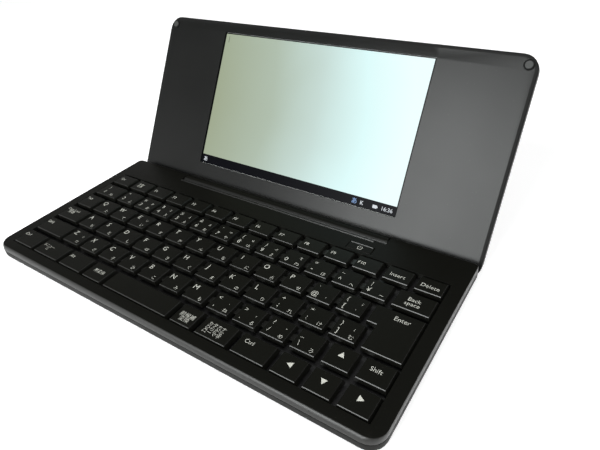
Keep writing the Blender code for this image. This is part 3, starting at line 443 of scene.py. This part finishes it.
@dataclass(frozen=True)
class PrintedInk:
    """Screen-printed ink: thin, slightly uneven and dull."""

    name: str
    colour: Colour

    def make(self) -> bpy.types.Material:
        """Return the material."""
        graph = Graph(self.name)
        cover = graph.noise(0.0009, 3.0)
        mesh = graph.noise(0.00012, 2.0)
        base = graph.blend(cover * 0.45, self.colour, tuple(part * 0.55 for part in self.colour))
        return graph.surface(
            Base_Color=base, Roughness=cover * 0.1 + 0.5, Specular_IOR_Level=0.3,
            Normal=graph.bump(mesh, 0.000004))


@dataclass(frozen=True)
class ScreenLight:
    """A lit sign on the screen, with the screen's fine dots."""

    name: str
    colour: Colour
    strength: float = 0.8

    def make(self) -> bpy.types.Material:
        """Return the material."""
        graph = Graph(self.name)
        dots = graph.noise(0.0003, 1.0)
        lit = graph.blend(dots * 0.3, self.colour, tuple(part * 0.7 for part in self.colour))
        return graph.surface(
            Base_Color=(0.01, 0.01, 0.01), Roughness=0.4, Specular_IOR_Level=0.1,
            Emission_Color=lit, Emission_Strength=self.strength)


@dataclass(frozen=True)
class Hinge:
    """The lid's hinge and the frame of places in the lid."""

    axis: Point
    open_degrees: float

    def matrix(self) -> Matrix:
        """Return the matrix from the closed lid's frame to the row frame at rest."""
        return Matrix.Translation(self.axis) @ Matrix.Rotation(math.radians(-self.open_degrees), 4, "X")


def read_hinge() -> Hinge:
    """Return the lid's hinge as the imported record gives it."""
    joint = next(joint for joint in frame["joints"] if joint["name"] == "lid_hinge")
    return Hinge(tuple(joint["pos_m"]), joint["range_deg"][1])


HINGE = read_hinge()


@dataclass(frozen=True)
class DisplayPanel:
    """A lit display that is seen at an angle: greenish at its left and clear at its right."""

    name: str
    half_width: float
    low: float
    high: float
    bar: float
    border: float = 0.0006
    stops: tuple = (
        (0.00, (0.332, 0.378, 0.255)), (0.33, (0.413, 0.495, 0.400)), (0.56, (0.546, 0.686, 0.638)),
        (0.78, (0.708, 0.947, 0.940)), (0.97, (0.840, 0.990, 0.995)))

    def make(self) -> bpy.types.Material:
        """Return the material."""
        graph = Graph(self.name)
        x, y, _ = graph.axes(graph.place(HINGE.axis, -HINGE.open_degrees))
        reach = 0.0 - y
        across = (x + self.half_width) / (2 * self.half_width)
        up = (reach - self.low) / (self.high - self.low)
        slow = graph.noise(0.03, 1.0)
        bowed = (up - 0.5) * (up - 0.5)
        tone = across + bowed * 0.22 + (slow - 0.5) * 0.05
        glow = self.stops[0][1]
        for (start, _), (end, colour) in zip(self.stops, self.stops[1:]):
            glow = graph.blend((tone - start) / (end - start), glow, colour)
        inside = (x + self.half_width).both(self.half_width - x).both(self.high - reach) > self.border
        lit = inside.both(reach > self.low + self.bar)
        shown = graph.blend(lit, (0.0008, 0.0010, 0.0014), glow)
        dots = graph.noise(0.00025, 1.0)
        return graph.surface(
            Base_Color=graph.blend(lit, (0.002, 0.002, 0.003), (0.012, 0.013, 0.013)),
            Roughness=dots * 0.06 + 0.27, Specular_IOR_Level=0.03,
            Emission_Color=shown, Emission_Strength=1.0)


class Finishes:
    """The materials of the word processor, each made once."""

    def __init__(self) -> None:
        """Make every material."""
        self.shell = MouldedPlastic("shell_black", (0.0042, 0.0042, 0.0034), 0.46, gloss=0.09).make()
        self.deck = MouldedPlastic(
            "deck_black", (0.0046, 0.0046, 0.0035), 0.42, gloss=0.09, gleam_below=0.0097, gleam=0.8).make()
        self.back = MouldedPlastic(
            "lid_back_black", (0.0052, 0.0052, 0.0046), 0.40, grain=0.0003, gloss=0.16, smudge=0.14).make()
        self.keycap = MouldedPlastic(
            "keycap_black", (0.0056, 0.0057, 0.0043), 0.33, grain=0.00014, depth=0.000006, gloss=0.12,
            gleam_below=0.01058, gleam=0.9, smudge=0.1, dust=0.08).make()
        self.trim = MouldedPlastic(
            "trim_black", (0.0045, 0.0045, 0.0038), 0.32, grain=0.00014, depth=0.000004, gloss=0.45,
            dust=0.0).make()
        self.face = SatinPaint(
            "lid_face_grey", (0.0050, 0.0052, 0.0049), 0.31, gloss=0.235,
            half_width=0.1315, reach=0.1158, corner=0.009, rim=0.0019).make()
        self.rubber = SoftRubber("rubber_black", (0.012, 0.012, 0.012)).make()
        self.bumper = BumperRubber("bumper_grey", (0.030, 0.031, 0.030), 0.1262, 0.1102, 0.0020).make()
        self.steel = TurnedMetal("steel_bright", (0.60, 0.60, 0.58)).make()
        self.dark_steel = TurnedMetal("steel_blackened", (0.10, 0.10, 0.10), 0.4).make()
        self.socket = TurnedMetal("socket_nickel", (0.52, 0.50, 0.46), 0.3).make()
        self.board = CoatedSheet("board_green", (0.010, 0.075, 0.028), (0.03, 0.16, 0.06), 0.0016).make()
        self.film = CoatedSheet("film_amber", (0.30, 0.15, 0.035), (0.42, 0.24, 0.08), 0.0024).make()
        self.foil = CoatedSheet("cell_wrap", (0.16, 0.17, 0.19), (0.20, 0.21, 0.23), 0.004, 0.35).make()
        self.diffuser = MouldedPlastic("diffuser_white", (0.62, 0.63, 0.62), 0.5, dust=0.0, tone=0.05).make()
        self.legend = PrintedInk("legend_grey", (0.62, 0.62, 0.56)).make()
        self.sign = ScreenLight("sign_white", (0.85, 0.9, 0.95)).make()
        self.blue_sign = ScreenLight("sign_blue", (0.25, 0.42, 0.75)).make()


def deselect() -> None:
    """Deselect every object, out of edit mode."""
    if bpy.context.object and bpy.context.object.mode != "OBJECT":
        bpy.ops.object.mode_set(mode="OBJECT")
    bpy.ops.object.select_all(action="DESELECT")


def activate(piece: bpy.types.Object) -> None:
    """Select one object alone and make it active."""
    deselect()
    piece.select_set(True)
    bpy.context.view_layer.objects.active = piece


def apply_modifier(piece: bpy.types.Object, kind: str, **settings: object) -> None:
    """Add a modifier and apply it.

    Args:
        piece: the object.
        kind: the modifier's type.
        settings: its properties by name.
    """
    activate(piece)
    modifier = piece.modifiers.new(kind.lower(), kind)
    for name, value in settings.items():
        setattr(modifier, name, value)
    bpy.ops.object.modifier_apply(modifier=modifier.name)


def settle(piece: bpy.types.Object) -> None:
    """Put a piece's place, turn and scale into its mesh."""
    activate(piece)
    bpy.ops.object.transform_apply(location=True, rotation=True, scale=True)


def dress(piece: bpy.types.Object, finish: bpy.types.Material, body: str) -> bpy.types.Object:
    """Give a finished piece its material and the body that it rides on.

    Args:
        piece: the object, at the origin.
        finish: the material.
        body: the CAD body's name.

    Returns:
        The object.
    """
    piece.data.materials.clear()
    piece.data.materials.append(finish)
    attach(piece, body)
    LOG.info("%s rides on %s", piece.name, body)
    return piece


@dataclass(frozen=True)
class Rounding:
    """How a CAD shape's edges are rounded."""

    width: float
    segments: int = 3
    angle: float = 38.0

    def apply(self, node: str, name: str) -> bpy.types.Object:
        """Copy a CAD node, merge its triangles and round its edges.

        Args:
            node: the CAD node.
            name: the new piece's name.

        Returns:
            The new piece, which stands for the node.
        """
        source = frame["nodes"][node]
        mesh = source.data.copy()
        mesh.name = name
        piece = bpy.data.objects.new(name, mesh)
        bpy.context.scene.collection.objects.link(piece)
        activate(piece)
        bpy.ops.object.mode_set(mode="EDIT")
        bpy.ops.mesh.select_all(action="SELECT")
        bpy.ops.mesh.remove_doubles(threshold=0.000002)
        bpy.ops.mesh.dissolve_limited(angle_limit=math.radians(0.8))
        bpy.ops.object.mode_set(mode="OBJECT")
        apply_modifier(
            piece, "BEVEL", width=self.width, segments=self.segments, limit_method="ANGLE",
            angle_limit=math.radians(self.angle), use_clamp_overlap=True)
        apply_modifier(piece, "TRIANGULATE", min_vertices=5)
        activate(piece)
        bpy.ops.object.shade_smooth_by_angle(angle=math.radians(32))
        apply_modifier(piece, "WEIGHTED_NORMAL", keep_sharp=True, weight=80)
        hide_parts(node)
        return piece


def dress_node(node: str, finish: bpy.types.Material) -> None:
    """Give a CAD node that stays as it is a material.

    Args:
        node: the CAD node.
        finish: the material.
    """
    piece = frame["nodes"][node]
    piece.data.materials.clear()
    piece.data.materials.append(finish)
    LOG.info("%s keeps its CAD shape", node)


class Align(Enum):
    """Where a legend's place lies along its width."""

    LEFT = "LEFT"
    CENTRE = "CENTER"
    RIGHT = "RIGHT"


@dataclass(frozen=True)
class Legend:
    """One word or sign on a key, placed on the key's cap from its centre."""

    words: str
    x: float
    y: float
    size: float
    align: Align = Align.CENTRE
    slant: float = 0.0
    weight: float = -0.00003

    def make(self, place: Matrix, thickness: float) -> bpy.types.Object:
        """Make the legend's mesh.

        Args:
            place: the matrix of the surface that it lies on.
            thickness: how far it stands off that surface.

        Returns:
            The mesh object, at the origin.
        """
        deselect()
        bpy.ops.object.text_add()
        text = bpy.context.object
        text.data.body = self.words
        text.data.size = self.size
        text.data.align_x = self.align.value
        text.data.align_y = "CENTER"
        text.data.space_line = 0.86
        text.data.shear = self.slant
        text.data.offset = self.weight
        text.data.extrude = thickness / 2
        text.data.resolution_u = 3
        bpy.ops.object.convert(target="MESH")
        mesh = bpy.context.object
        mesh.matrix_world = place @ Matrix.Translation((self.x, self.y, thickness / 2))
        settle(mesh)
        return mesh


def join_pieces(pieces: list[bpy.types.Object], name: str) -> bpy.types.Object:
    """Join meshes into one.

    Args:
        pieces: the meshes.
        name: the joined piece's name.

    Returns:
        The joined piece.
    """
    deselect()
    for piece in pieces:
        piece.select_set(True)
    bpy.context.view_layer.objects.active = pieces[0]
    if len(pieces) > 1:
        bpy.ops.object.join()
    joined = bpy.context.object
    joined.name = name
    return joined


@dataclass(frozen=True)
class Strip:
    """A thin moulded strip along X, with the same profile from end to end."""

    name: str
    ends: tuple[float, float]
    profile: tuple[tuple[float, float], ...]
    edge: float = 0.00006

    def make(self) -> bpy.types.Object:
        """Return the strip's mesh, at the origin."""
        deselect()
        bpy.ops.mesh.primitive_plane_add()
        strip = bpy.context.object
        strip.name = self.name
        shape = bmesh.new()
        low, high = self.ends
        section = shape.faces.new([shape.verts.new((low, y, z)) for y, z in self.profile])
        grown = bmesh.ops.extrude_face_region(shape, geom=[section])["geom"]
        moved = [item for item in grown if isinstance(item, bmesh.types.BMVert)]
        bmesh.ops.translate(shape, verts=moved, vec=(high - low, 0.0, 0.0))
        bmesh.ops.recalc_face_normals(shape, faces=shape.faces)
        shape.to_mesh(strip.data)
        shape.free()
        apply_modifier(strip, "BEVEL", width=self.edge, segments=2)
        return strip


Cell = tuple[float, float, float, float]


@dataclass
class Keyboard:
    """The key caps and their legends, laid out as the CAD cells are."""

    finishes: Finishes
    half_width: float = 0.1245
    front: float = -0.0934315 + 0.0064
    pitch: float = 0.249 * 0.068273
    row_pitch: float = 0.0155
    function_depth: float = 0.0137
    ink: float = 0.00003
    rounding: Rounding = field(default_factory=lambda: Rounding(0.00006, 2, 25.0))
    top: float = 0.0106

    rows: tuple = (
        (("key_control_left", 1, 1.197), ("key_menu", 1, 1.45), ("key_alternate", 1, 1.276),
         ("key_no_convert", 1, 1.05), ("key_space", 1, 3.012), ("key_convert", 1, 0.974),
         ("key_kana", 1, 1.318), ("key_control_right", 1, 1.318), ("key_arrow_left", 1, 1.0),
         ("key_arrow_down", 1, 1.0), ("key_arrow_right", 1, None)),
        (("key_shift_left", 1, 1.594), ("keys_lower_row", 11, 1.0), ("key_arrow_up", 1, 1.0),
         ("key_shift_right", 1, None)),
        (("key_caps_lock", 1, 1.282), ("keys_home_row", 12, 1.0), ("key_enter", 1, None)),
        (("key_tab", 1, 0.971), ("keys_upper_row", 12, 1.0), ("key_enter", 1, None)),
        (("keys_number_row", 1, 1.294), ("keys_number_row", 12, 1.0), ("key_backspace", 1, None)),
        (("key_escape", 1, 1.04622), ("keys_function", 11, 1.04622), ("key_insert", 1, 1.04622),
         ("key_delete", 1, None)),
    )
    faces: dict = field(default_factory=lambda: {
        "keys_number_row": (
            ("1", "!", "ぬ", ""), ("2", "\"", "ふ", ""), ("3", "#", "あ", "ぁ"), ("4", "$", "う", "ぅ"),
            ("5", "%", "え", "ぇ"), ("6", "&", "お", "ぉ"), ("7", "'", "や", "ゃ"), ("8", "(", "ゆ", "ゅ"),
            ("9", ")", "よ", "ょ"), ("0", "", "わ", "を"), ("-", "=", "ほ", ""), ("^", "~", "へ", ""),
            ("¥", "|", "ー", "")),
        "keys_upper_row": (
            ("Q", "", "た", ""), ("W", "", "て", ""), ("E", "", "い", "ぃ"), ("R", "", "す", ""),
            ("T", "", "か", ""), ("Y", "", "ん", ""), ("U", "", "な", ""), ("I", "", "に", ""),
            ("O", "", "ら", ""), ("P", "", "せ", ""), ("@", "`", "゛", ""), ("[", "{", "゜", "「")),
        "keys_home_row": (
            ("A", "", "ち", ""), ("S", "", "と", ""), ("D", "", "し", ""), ("F", "", "は", ""),
            ("G", "", "き", ""), ("H", "", "く", ""), ("J", "", "ま", ""), ("K", "", "の", ""),
            ("L", "", "り", ""), (";", "+", "れ", ""), (":", "*", "け", ""), ("]", "}", "む", "」")),
        "keys_lower_row": (
            ("Z", "", "つ", "っ"), ("X", "", "さ", ""), ("C", "", "そ", ""), ("V", "", "ひ", ""),
            ("B", "", "こ", ""), ("N", "", "み", ""), ("M", "", "も", ""), (",", "<", "ね", "、"),
            (".", ">", "る", "。"), ("/", "?", "め", "・"), ("\\", "_", "ろ", "")),
    })
    words: dict = field(default_factory=lambda: {
        "key_control_left": ("Ctrl", -0.0058, 0.0014, 0.0031),
        "key_control_right": ("Ctrl", -0.0040, 0.0014, 0.0033),
        "key_menu": ("メニュー\n  ⌂", -0.0045, -0.0010, 0.0025),
        "key_alternate": ("Alt", -0.0060, 0.0012, 0.0032),
        "key_no_convert": ("無変換", 0.0004, -0.0004, 0.0028),
        "key_convert": ("前候補\n変換", 0.0004, -0.0020, 0.0032),
        "key_kana": ("カタカナ\nひらがな\nローマ字", -0.0010, -0.0012, 0.0028),
        "key_shift_left": ("Shift", -0.0080, 0.0014, 0.0032),
        "key_shift_right": ("Shift", -0.0006, 0.0006, 0.0034),
        "key_caps_lock": ("Caps Lock\n英数", -0.0030, 0.0006, 0.0028),
        "key_tab": ("Tab", -0.0028, 0.0012, 0.0031),
        "key_backspace": ("Back\nspace", -0.0005, -0.0010, 0.0036),
        "key_escape": ("Esc", -0.0026, -0.0002, 0.0031),
        "key_insert": ("Insert", -0.0002, -0.0014, 0.0037),
        "key_delete": ("Delete", -0.0002, -0.0014, 0.0037),
    })
    arrows: dict = field(default_factory=lambda: {
        "key_arrow_left": 180.0, "key_arrow_right": 0.0, "key_arrow_up": 90.0, "key_arrow_down": -90.0})

    def cells(self) -> dict[str, list[Cell]]:
        """Return each node's cells as lists of left, right, front and rear."""
        cells: dict[str, list[Cell]] = {}
        for row, groups in enumerate(self.rows):
            front = self.front + row * self.row_pitch
            rear = front + (self.function_depth if row == len(self.rows) - 1 else self.row_pitch)
            left = -self.half_width
            for node, count, share in groups:
                for _ in range(count):
                    right = self.half_width if share is None else left + share * self.pitch
                    cells.setdefault(node, []).append((left, right, front, rear))
                    left = right
        return cells

    def surface_at(self, cell: Cell) -> Matrix:
        """Return the matrix of a cap's top about the middle of its cell."""
        return Matrix.Translation(((cell[0] + cell[1]) / 2, (cell[2] + cell[3]) / 2, self.top))

    def lettered(self, cell: Cell, signs: tuple[str, str, str, str]) -> list[bpy.types.Object]:
        """Make the signs of a letter or number key.

        Args:
            cell: the key's cell.
            signs: the main sign, the shifted one, the kana and its shifted one.

        Returns:
            The meshes.
        """
        main, shifted, kana, small = signs
        place = self.surface_at(cell)
        letter = main.isalpha()
        made = [Legend(main, -0.0038, 0.0016 if letter else -0.0031, 0.0046 if letter else 0.0042)]
        if shifted:
            made.append(Legend(shifted, -0.0039, 0.0019, 0.0036))
        made.append(Legend(kana, 0.0038, -0.0044, 0.0029))
        if small:
            made.append(Legend(small, 0.0038, 0.0008, 0.0024))
        return [legend.make(place, self.ink) for legend in made]

    def arrow(self, cell: Cell, turn: float) -> bpy.types.Object:
        """Make an arrow key's solid triangle.

        Args:
            cell: the key's cell.
            turn: degrees from pointing right.

        Returns:
            The mesh.
        """
        deselect()
        place = self.surface_at(cell) @ Matrix.Translation((0.0, 0.0004, self.ink / 2))
        bpy.ops.mesh.primitive_cylinder_add(vertices=3, radius=0.0019, depth=self.ink)
        mark = bpy.context.object
        mark.matrix_world = place @ Matrix.Rotation(math.radians(turn - 90.0), 4, "Z")
        settle(mark)
        return mark

    def legends(self, node: str, cells: list[Cell]) -> list[bpy.types.Object]:
        """Make the legends of one key or bank of keys.

        Args:
            node: the CAD node.
            cells: its cells.

        Returns:
            The meshes.
        """
        if node in self.faces:
            pairs = zip(cells, self.faces[node])
            return [mesh for cell, signs in pairs for mesh in self.lettered(cell, signs)]
        if node in self.arrows:
            return [self.arrow(cells[0], self.arrows[node])]
        if node == "key_enter":
            return [Legend("Enter", 0.0026, 0.0009, 0.0038).make(self.surface_at(cells[1]), self.ink)]
        if node == "keys_function":
            words = ["半角/\n全角"] + [f"F{count}" for count in range(1, len(cells))]
            sizes = [0.0024] + [0.0032] * (len(cells) - 1)
            places = [-0.0018] + [-0.0036] * (len(cells) - 1)
            return [Legend(word, x, -0.0009, size).make(self.surface_at(cell), self.ink)
                    for word, x, size, cell in zip(words, places, sizes, cells)]
        if node in self.words:
            return [Legend(*self.words[node]).make(self.surface_at(cells[0]), self.ink)]
        return []

    def build(self) -> None:
        """Make every cap and its legends."""
        for node, cells in self.cells().items():
            cap = self.rounding.apply(node, f"{node}_cap" if node.startswith("key_") else f"{node}_caps")
            dress(cap, self.finishes.keycap, node)
            marks = self.legends(node, cells)
            if marks:
                legend = join_pieces(marks, f"{node}_legend")
                dress(legend, self.finishes.legend, node)


@dataclass
class BaseShells:
    """The two shells of the base with what shows on them."""

    finishes: Finishes
    rounding: Rounding = field(default_factory=lambda: Rounding(0.00022, 3, 38.0))

    def build(self) -> None:
        """Dress the shells, the feet and what shows of the inside."""
        for node in ("lower_case", "deck_frame"):
            finish = self.finishes.deck if node == "deck_frame" else self.finishes.shell
            dress(self.rounding.apply(node, f"{node}_shell"), finish, Body.BASE.value)
        lip = Strip("hinge_lip", (-0.0795, 0.0735), (
            (0.01610, 0.00975), (0.01668, 0.01034), (0.01725, 0.01038), (0.01750, 0.00975)), 0.00012).make()
        dress(lip, self.finishes.trim, Body.BASE.value)
        for node in ("foot_front_left", "foot_front_right", "foot_rear_left", "foot_rear_right"):
            dress_node(node, self.finishes.rubber)
        inner = {
            "keyboard_plate": self.finishes.dark_steel, "hinge_bracket_left": self.finishes.dark_steel,
            "hinge_bracket_right": self.finishes.dark_steel, "hinge_pin_left": self.finishes.steel,
            "hinge_pin_right": self.finishes.steel, "card_socket": self.finishes.socket,
            "charging_socket": self.finishes.socket, "power_switch": self.finishes.socket,
            "main_board": self.finishes.board, "contact_membrane": self.finishes.film,
            "battery_pack": self.finishes.foil}
        for place in ("front_left", "front_right", "rear_left", "rear_right"):
            inner[f"case_screw_{place}"] = self.finishes.dark_steel
        for node, finish in inner.items():
            dress_node(node, finish)


@dataclass
class PowerButton:
    """The power button with its sign."""

    finishes: Finishes
    ring: float = 0.0014
    line: float = 0.00026
    ink: float = 0.00003
    gap_degrees: float = 70.0
    half_ridge: float = 0.0070

    def sign(self, centre: Vector) -> bpy.types.Object:
        """Make the power sign: an open ring with a stroke in its gap.

        Args:
            centre: the middle of the ring on the button's top.

        Returns:
            The mesh.
        """
        deselect()
        steps = 20
        half_gap = math.radians(self.gap_degrees / 2)
        start = math.pi / 2 + half_gap
        sweep = 2 * math.pi - 2 * half_gap
        bpy.ops.mesh.primitive_plane_add(size=self.line)
        ring = bpy.context.object
        mesh = ring.data
        shape = bmesh.new()
        rims = []
        for step in range(steps + 1):
            angle = start + sweep * step / steps
            way = Vector((math.cos(angle), math.sin(angle), 0.0))
            rims.append([shape.verts.new(way * (self.ring + side * self.line / 2)) for side in (-1, 1)])
        for first, second in zip(rims, rims[1:]):
            shape.faces.new((first[0], first[1], second[1], second[0]))
        corners = [(-self.line / 2, 0.0003), (self.line / 2, 0.0003), (self.line / 2, 0.0016),
                   (-self.line / 2, 0.0016)]
        shape.faces.new([shape.verts.new((x, y, 0.0)) for x, y in corners])
        shape.to_mesh(mesh)
        shape.free()
        ring.matrix_world = Matrix.Translation(centre)
        settle(ring)
        apply_modifier(ring, "SOLIDIFY", thickness=self.ink, offset=1.0)
        return ring

    def build(self) -> None:
        """Dress the button and put its sign on it."""
        cap = Rounding(0.00018, 3, 30.0).apply("power_button", "power_button_cap")
        dress(cap, self.finishes.deck, Body.BUTTON.value)
        low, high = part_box("power_button")
        sign = self.sign(Vector(((low.x + high.x) / 2, high.y - 0.0036, high.z)))
        sign.name = "power_sign"
        dress(sign, self.finishes.legend, Body.BUTTON.value)
        middle = (low.x + high.x) / 2
        rear, top = high.y, high.z
        ridge = Strip("power_ridge", (middle - self.half_ridge, middle + self.half_ridge), (
            (rear - 0.00095, top - 0.00004), (rear - 0.00062, top + 0.00034),
            (rear - 0.00035, top + 0.00034), (rear - 0.00025, top - 0.00004))).make()
        dress(ridge, self.finishes.trim, Body.BUTTON.value)


@dataclass
class Lid:
    """The lid's shells, its display and its bumpers."""

    finishes: Finishes
    half_width: float = 0.0773
    low: float = 0.0157
    high: float = 0.1084
    bar: float = 0.0062
    face: float = 0.0063
    ink: float = 0.00004

    def surface_at(self, x: float, reach: float) -> Matrix:
        """Return the matrix of a place on the screen, with Y towards the lid's free edge."""
        turn = Matrix.Rotation(math.radians(180.0), 4, "X")
        place = Matrix.Translation((x, -reach, self.face))
        return HINGE.matrix() @ place @ turn

    def strip(self, width: float, height: float, x: float, reach: float) -> bpy.types.Object:
        """Make a small lit plate on the screen.

        Args:
            width: its size along the hinge.
            height: its size up the screen.
            x: its middle along the hinge.
            reach: its middle from the hinge.

        Returns:
            The mesh.
        """
        deselect()
        bpy.ops.mesh.primitive_cube_add(size=1.0)
        plate = bpy.context.object
        plate.matrix_world = (self.surface_at(x, reach) @ Matrix.Translation((0.0, 0.0, self.ink / 2))
                              @ Matrix.Diagonal((width, height, self.ink, 1.0)))
        settle(plate)
        apply_modifier(plate, "BEVEL", width=min(width, height) * 0.18, segments=2)
        return plate

    def signs(self) -> None:
        """Make the signs in the status bar and the cursor."""
        line = self.low + 0.0028
        clock = Legend("16:36", 0.0, 0.0, 0.0035, weight=0.00001).make(
            self.surface_at(0.0710, line), self.ink)
        battery = join_pieces([
            self.strip(0.0028, 0.0020, 0.0631, line), self.strip(0.0006, 0.0010, 0.0648, line)], "sign")
        mode = Legend("あ", 0.0, 0.0, 0.0038, weight=0.00005).make(self.surface_at(-0.0735, line), self.ink)
        small = Legend("K", 0.0, 0.0, 0.0034, weight=0.00006).make(self.surface_at(0.0543, line), self.ink)
        white = join_pieces([clock, battery, mode, small], "screen_signs")
        dress(white, self.finishes.sign, Body.LID.value)
        letter = Legend("あ", 0.0, 0.0, 0.0040, weight=0.00005).make(self.surface_at(0.0492, line), self.ink)
        blue = join_pieces([letter], "screen_mode_sign")
        dress(blue, self.finishes.blue_sign, Body.LID.value)
        cursor = self.strip(0.0003, 0.0042, -0.0737, self.high - 0.0042)
        cursor.name = "screen_cursor"
        dress(cursor, self.finishes.rubber, Body.LID.value)

    def build(self) -> None:
        """Dress the lid and its display."""
        shells = {
            "lid_bezel": (self.finishes.face, Slot.LID_FACE, Rounding(0.00025, 3, 38.0)),
            "lid_back_cover": (self.finishes.back, Slot.SHELL, Rounding(0.00025, 3, 38.0)),
            "hinge_barrel": (self.finishes.deck, Slot.SHELL, Rounding(0.0002, 3, 38.0))}
        for node, (finish, slot, rounding) in shells.items():
            dress(rounding.apply(node, f"{node}_shell"), finish, Body.LID.value)
        dress_node("bumper_left", self.finishes.bumper)
        dress_node("bumper_right", self.finishes.bumper)
        panel = DisplayPanel("display_lit", self.half_width, self.low, self.high, self.bar).make()
        dress_node("lcd_screen", panel)
        for node, finish in {
                "lcd_backlight": self.finishes.diffuser, "display_driver_board": self.finishes.board,
                "display_cable": self.finishes.film, "lid_magnet": self.finishes.steel,
                "lid_screw_left": self.finishes.dark_steel,
                "lid_screw_right": self.finishes.dark_steel}.items():
            dress_node(node, finish)
        self.signs()


@dataclass(frozen=True)
class Lamp:
    """A soft rectangular lamp that is aimed at a point."""

    name: str
    place: Point
    target: Point
    size: tuple[float, float]
    radiance: float
    tint: Colour = (1.0, 1.0, 1.0)

    def make(self) -> None:
        """Make the lamp."""
        light = bpy.data.lights.new(self.name, "AREA")
        light.shape = "RECTANGLE"
        light.size, light.size_y = self.size
        light.energy = self.radiance * math.pi * self.size[0] * self.size[1]
        light.color = self.tint
        lamp = bpy.data.objects.new(self.name, light)
        lamp.location = self.place
        aim = Vector(self.target) - Vector(self.place)
        lamp.rotation_euler = aim.to_track_quat("-Z", "Y").to_euler()
        bpy.context.scene.collection.objects.link(lamp)


@dataclass
class Studio:
    """The floor, the light and the camera."""

    azimuth: float = 35.91
    elevation: float = 35.51
    roll: float = -4.93
    eye: Point = (0.17494, -0.18793, 0.18920)
    lens: float = 30.19
    shift: tuple[float, float] = (-0.00935, -0.00673)
    floor_radius: float = 6.0
    white: Colour = (1.0, 1.0, 1.0)
    lift: float = 0.42
    near: float = 1.0
    far: float = 3.0
    wall_top: float = 0.17
    room_bottom: float = 0.44
    room_level: float = 0.13
    lamps: tuple[Lamp, ...] = (
        Lamp("front_lamp", (-0.34, -1.42, 0.80), (0.0, 0.0, 0.04), (0.80, 1.15), 11.5, (0.97, 1.0, 0.995)),
        Lamp("top_lamp", (0.7, -0.1, 1.5), (0.0, 0.0, 0.0), (0.9, 0.9), 5.5))

    def camera(self) -> None:
        """Place the camera where the photograph was taken from."""
        azimuth, elevation, roll = map(math.radians, (self.azimuth, self.elevation, self.roll))
        back = Vector((math.sin(azimuth) * math.cos(elevation), -math.cos(azimuth) * math.cos(elevation),
                       math.sin(elevation)))
        right = Vector((0.0, 0.0, 1.0)).cross(back).normalized()
        up = back.cross(right)
        across = right * math.cos(roll) + up * math.sin(roll)
        above = up * math.cos(roll) - right * math.sin(roll)
        turn = Matrix((across, above, back)).transposed()
        data = bpy.data.cameras.new("camera")
        data.lens = self.lens
        data.sensor_width = 36.0
        data.shift_x, data.shift_y = self.shift
        data.clip_start = 0.01
        data.clip_end = 50.0
        camera = bpy.data.objects.new("camera", data)
        camera.matrix_world = Matrix.Translation(self.eye) @ turn.to_4x4()
        bpy.context.scene.collection.objects.link(camera)
        bpy.context.scene.camera = camera

    def seen(self, graph: Graph) -> Signal:
        """Return 1 for what the camera, a reflection or glass sees, or else 0."""
        path = graph.node("ShaderNodeLightPath")
        camera, glossy, through = (
            Signal(graph, path.outputs[name])
            for name in ("Is Camera Ray", "Is Glossy Ray", "Is Transmission Ray"))
        return camera.either(glossy).either(through)

    def floor(self) -> None:
        """Make the pale floor that keeps the object's shadow."""
        deselect()
        bpy.ops.mesh.primitive_circle_add(vertices=64, radius=self.floor_radius, fill_type="NGON")
        floor = bpy.context.object
        floor.name = "floor"
        graph = Graph("floor_white")
        grain = graph.noise(0.01, 2.0)
        colour = graph.blend(grain * 0.02, (0.90, 0.90, 0.90), (0.86, 0.86, 0.86))
        plain = graph.node("ShaderNodeBsdfDiffuse", None, {"Color": colour})
        lift = graph.node("ShaderNodeEmission", None, {"Color": self.white, "Strength": self.lift})
        near = graph.node("ShaderNodeAddShader", None, {0: plain.outputs[0], 1: lift.outputs[0]})
        white = graph.node("ShaderNodeEmission", None, {"Color": self.white, "Strength": 1.0})
        x, y, _ = graph.axes(graph.place())
        distance = graph.maths("SQRT", x * x + y * y)
        bright = graph.node("ShaderNodeMixShader", None, {
            0: distance.ramp(self.near, self.far), 1: near.outputs[0], 2: white.outputs[0]})
        mixed = graph.node("ShaderNodeMixShader", None, {
            0: self.seen(graph), 1: plain.outputs[0], 2: bright.outputs[0]})
        graph.node("ShaderNodeOutputMaterial", None, {0: mixed.outputs[0]})
        floor.data.materials.append(graph.owner)

    def world(self) -> None:
        """Make the surroundings: a white wall round the floor and a dim room above it."""
        graph = Graph("surroundings", world=True)
        *_, height = graph.axes(graph.node("ShaderNodeTexCoord").outputs["Generated"])
        wall = graph.node("ShaderNodeBackground", None, {"Color": self.white, "Strength": 1.0})
        room = graph.node("ShaderNodeBackground", None, {"Color": self.white, "Strength": self.room_level})
        mixed = graph.node("ShaderNodeMixShader", None, {
            0: height.ramp(self.wall_top, self.room_bottom), 1: wall.outputs[0], 2: room.outputs[0]})
        graph.node("ShaderNodeOutputWorld", None, {0: mixed.outputs[0]})
        bpy.context.scene.world = graph.owner

    def build(self) -> None:
        """Make the studio."""
        self.camera()
        self.floor()
        self.world()
        for lamp in self.lamps:
            lamp.make()
        bpy.context.scene.view_settings.view_transform = "Standard"


def main() -> None:
    """Build the word processor and its studio."""
    logging.basicConfig(level=logging.INFO, format="%(name)s: %(message)s")
    finishes = Finishes()
    Studio().build()
    parts: Iterable[Callable[[], None]] = (
        BaseShells(finishes).build, Keyboard(finishes).build, PowerButton(finishes).build,
        Lid(finishes).build)
    for build in parts:
        build()
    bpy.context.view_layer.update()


if __name__ == "__main__":
    main()
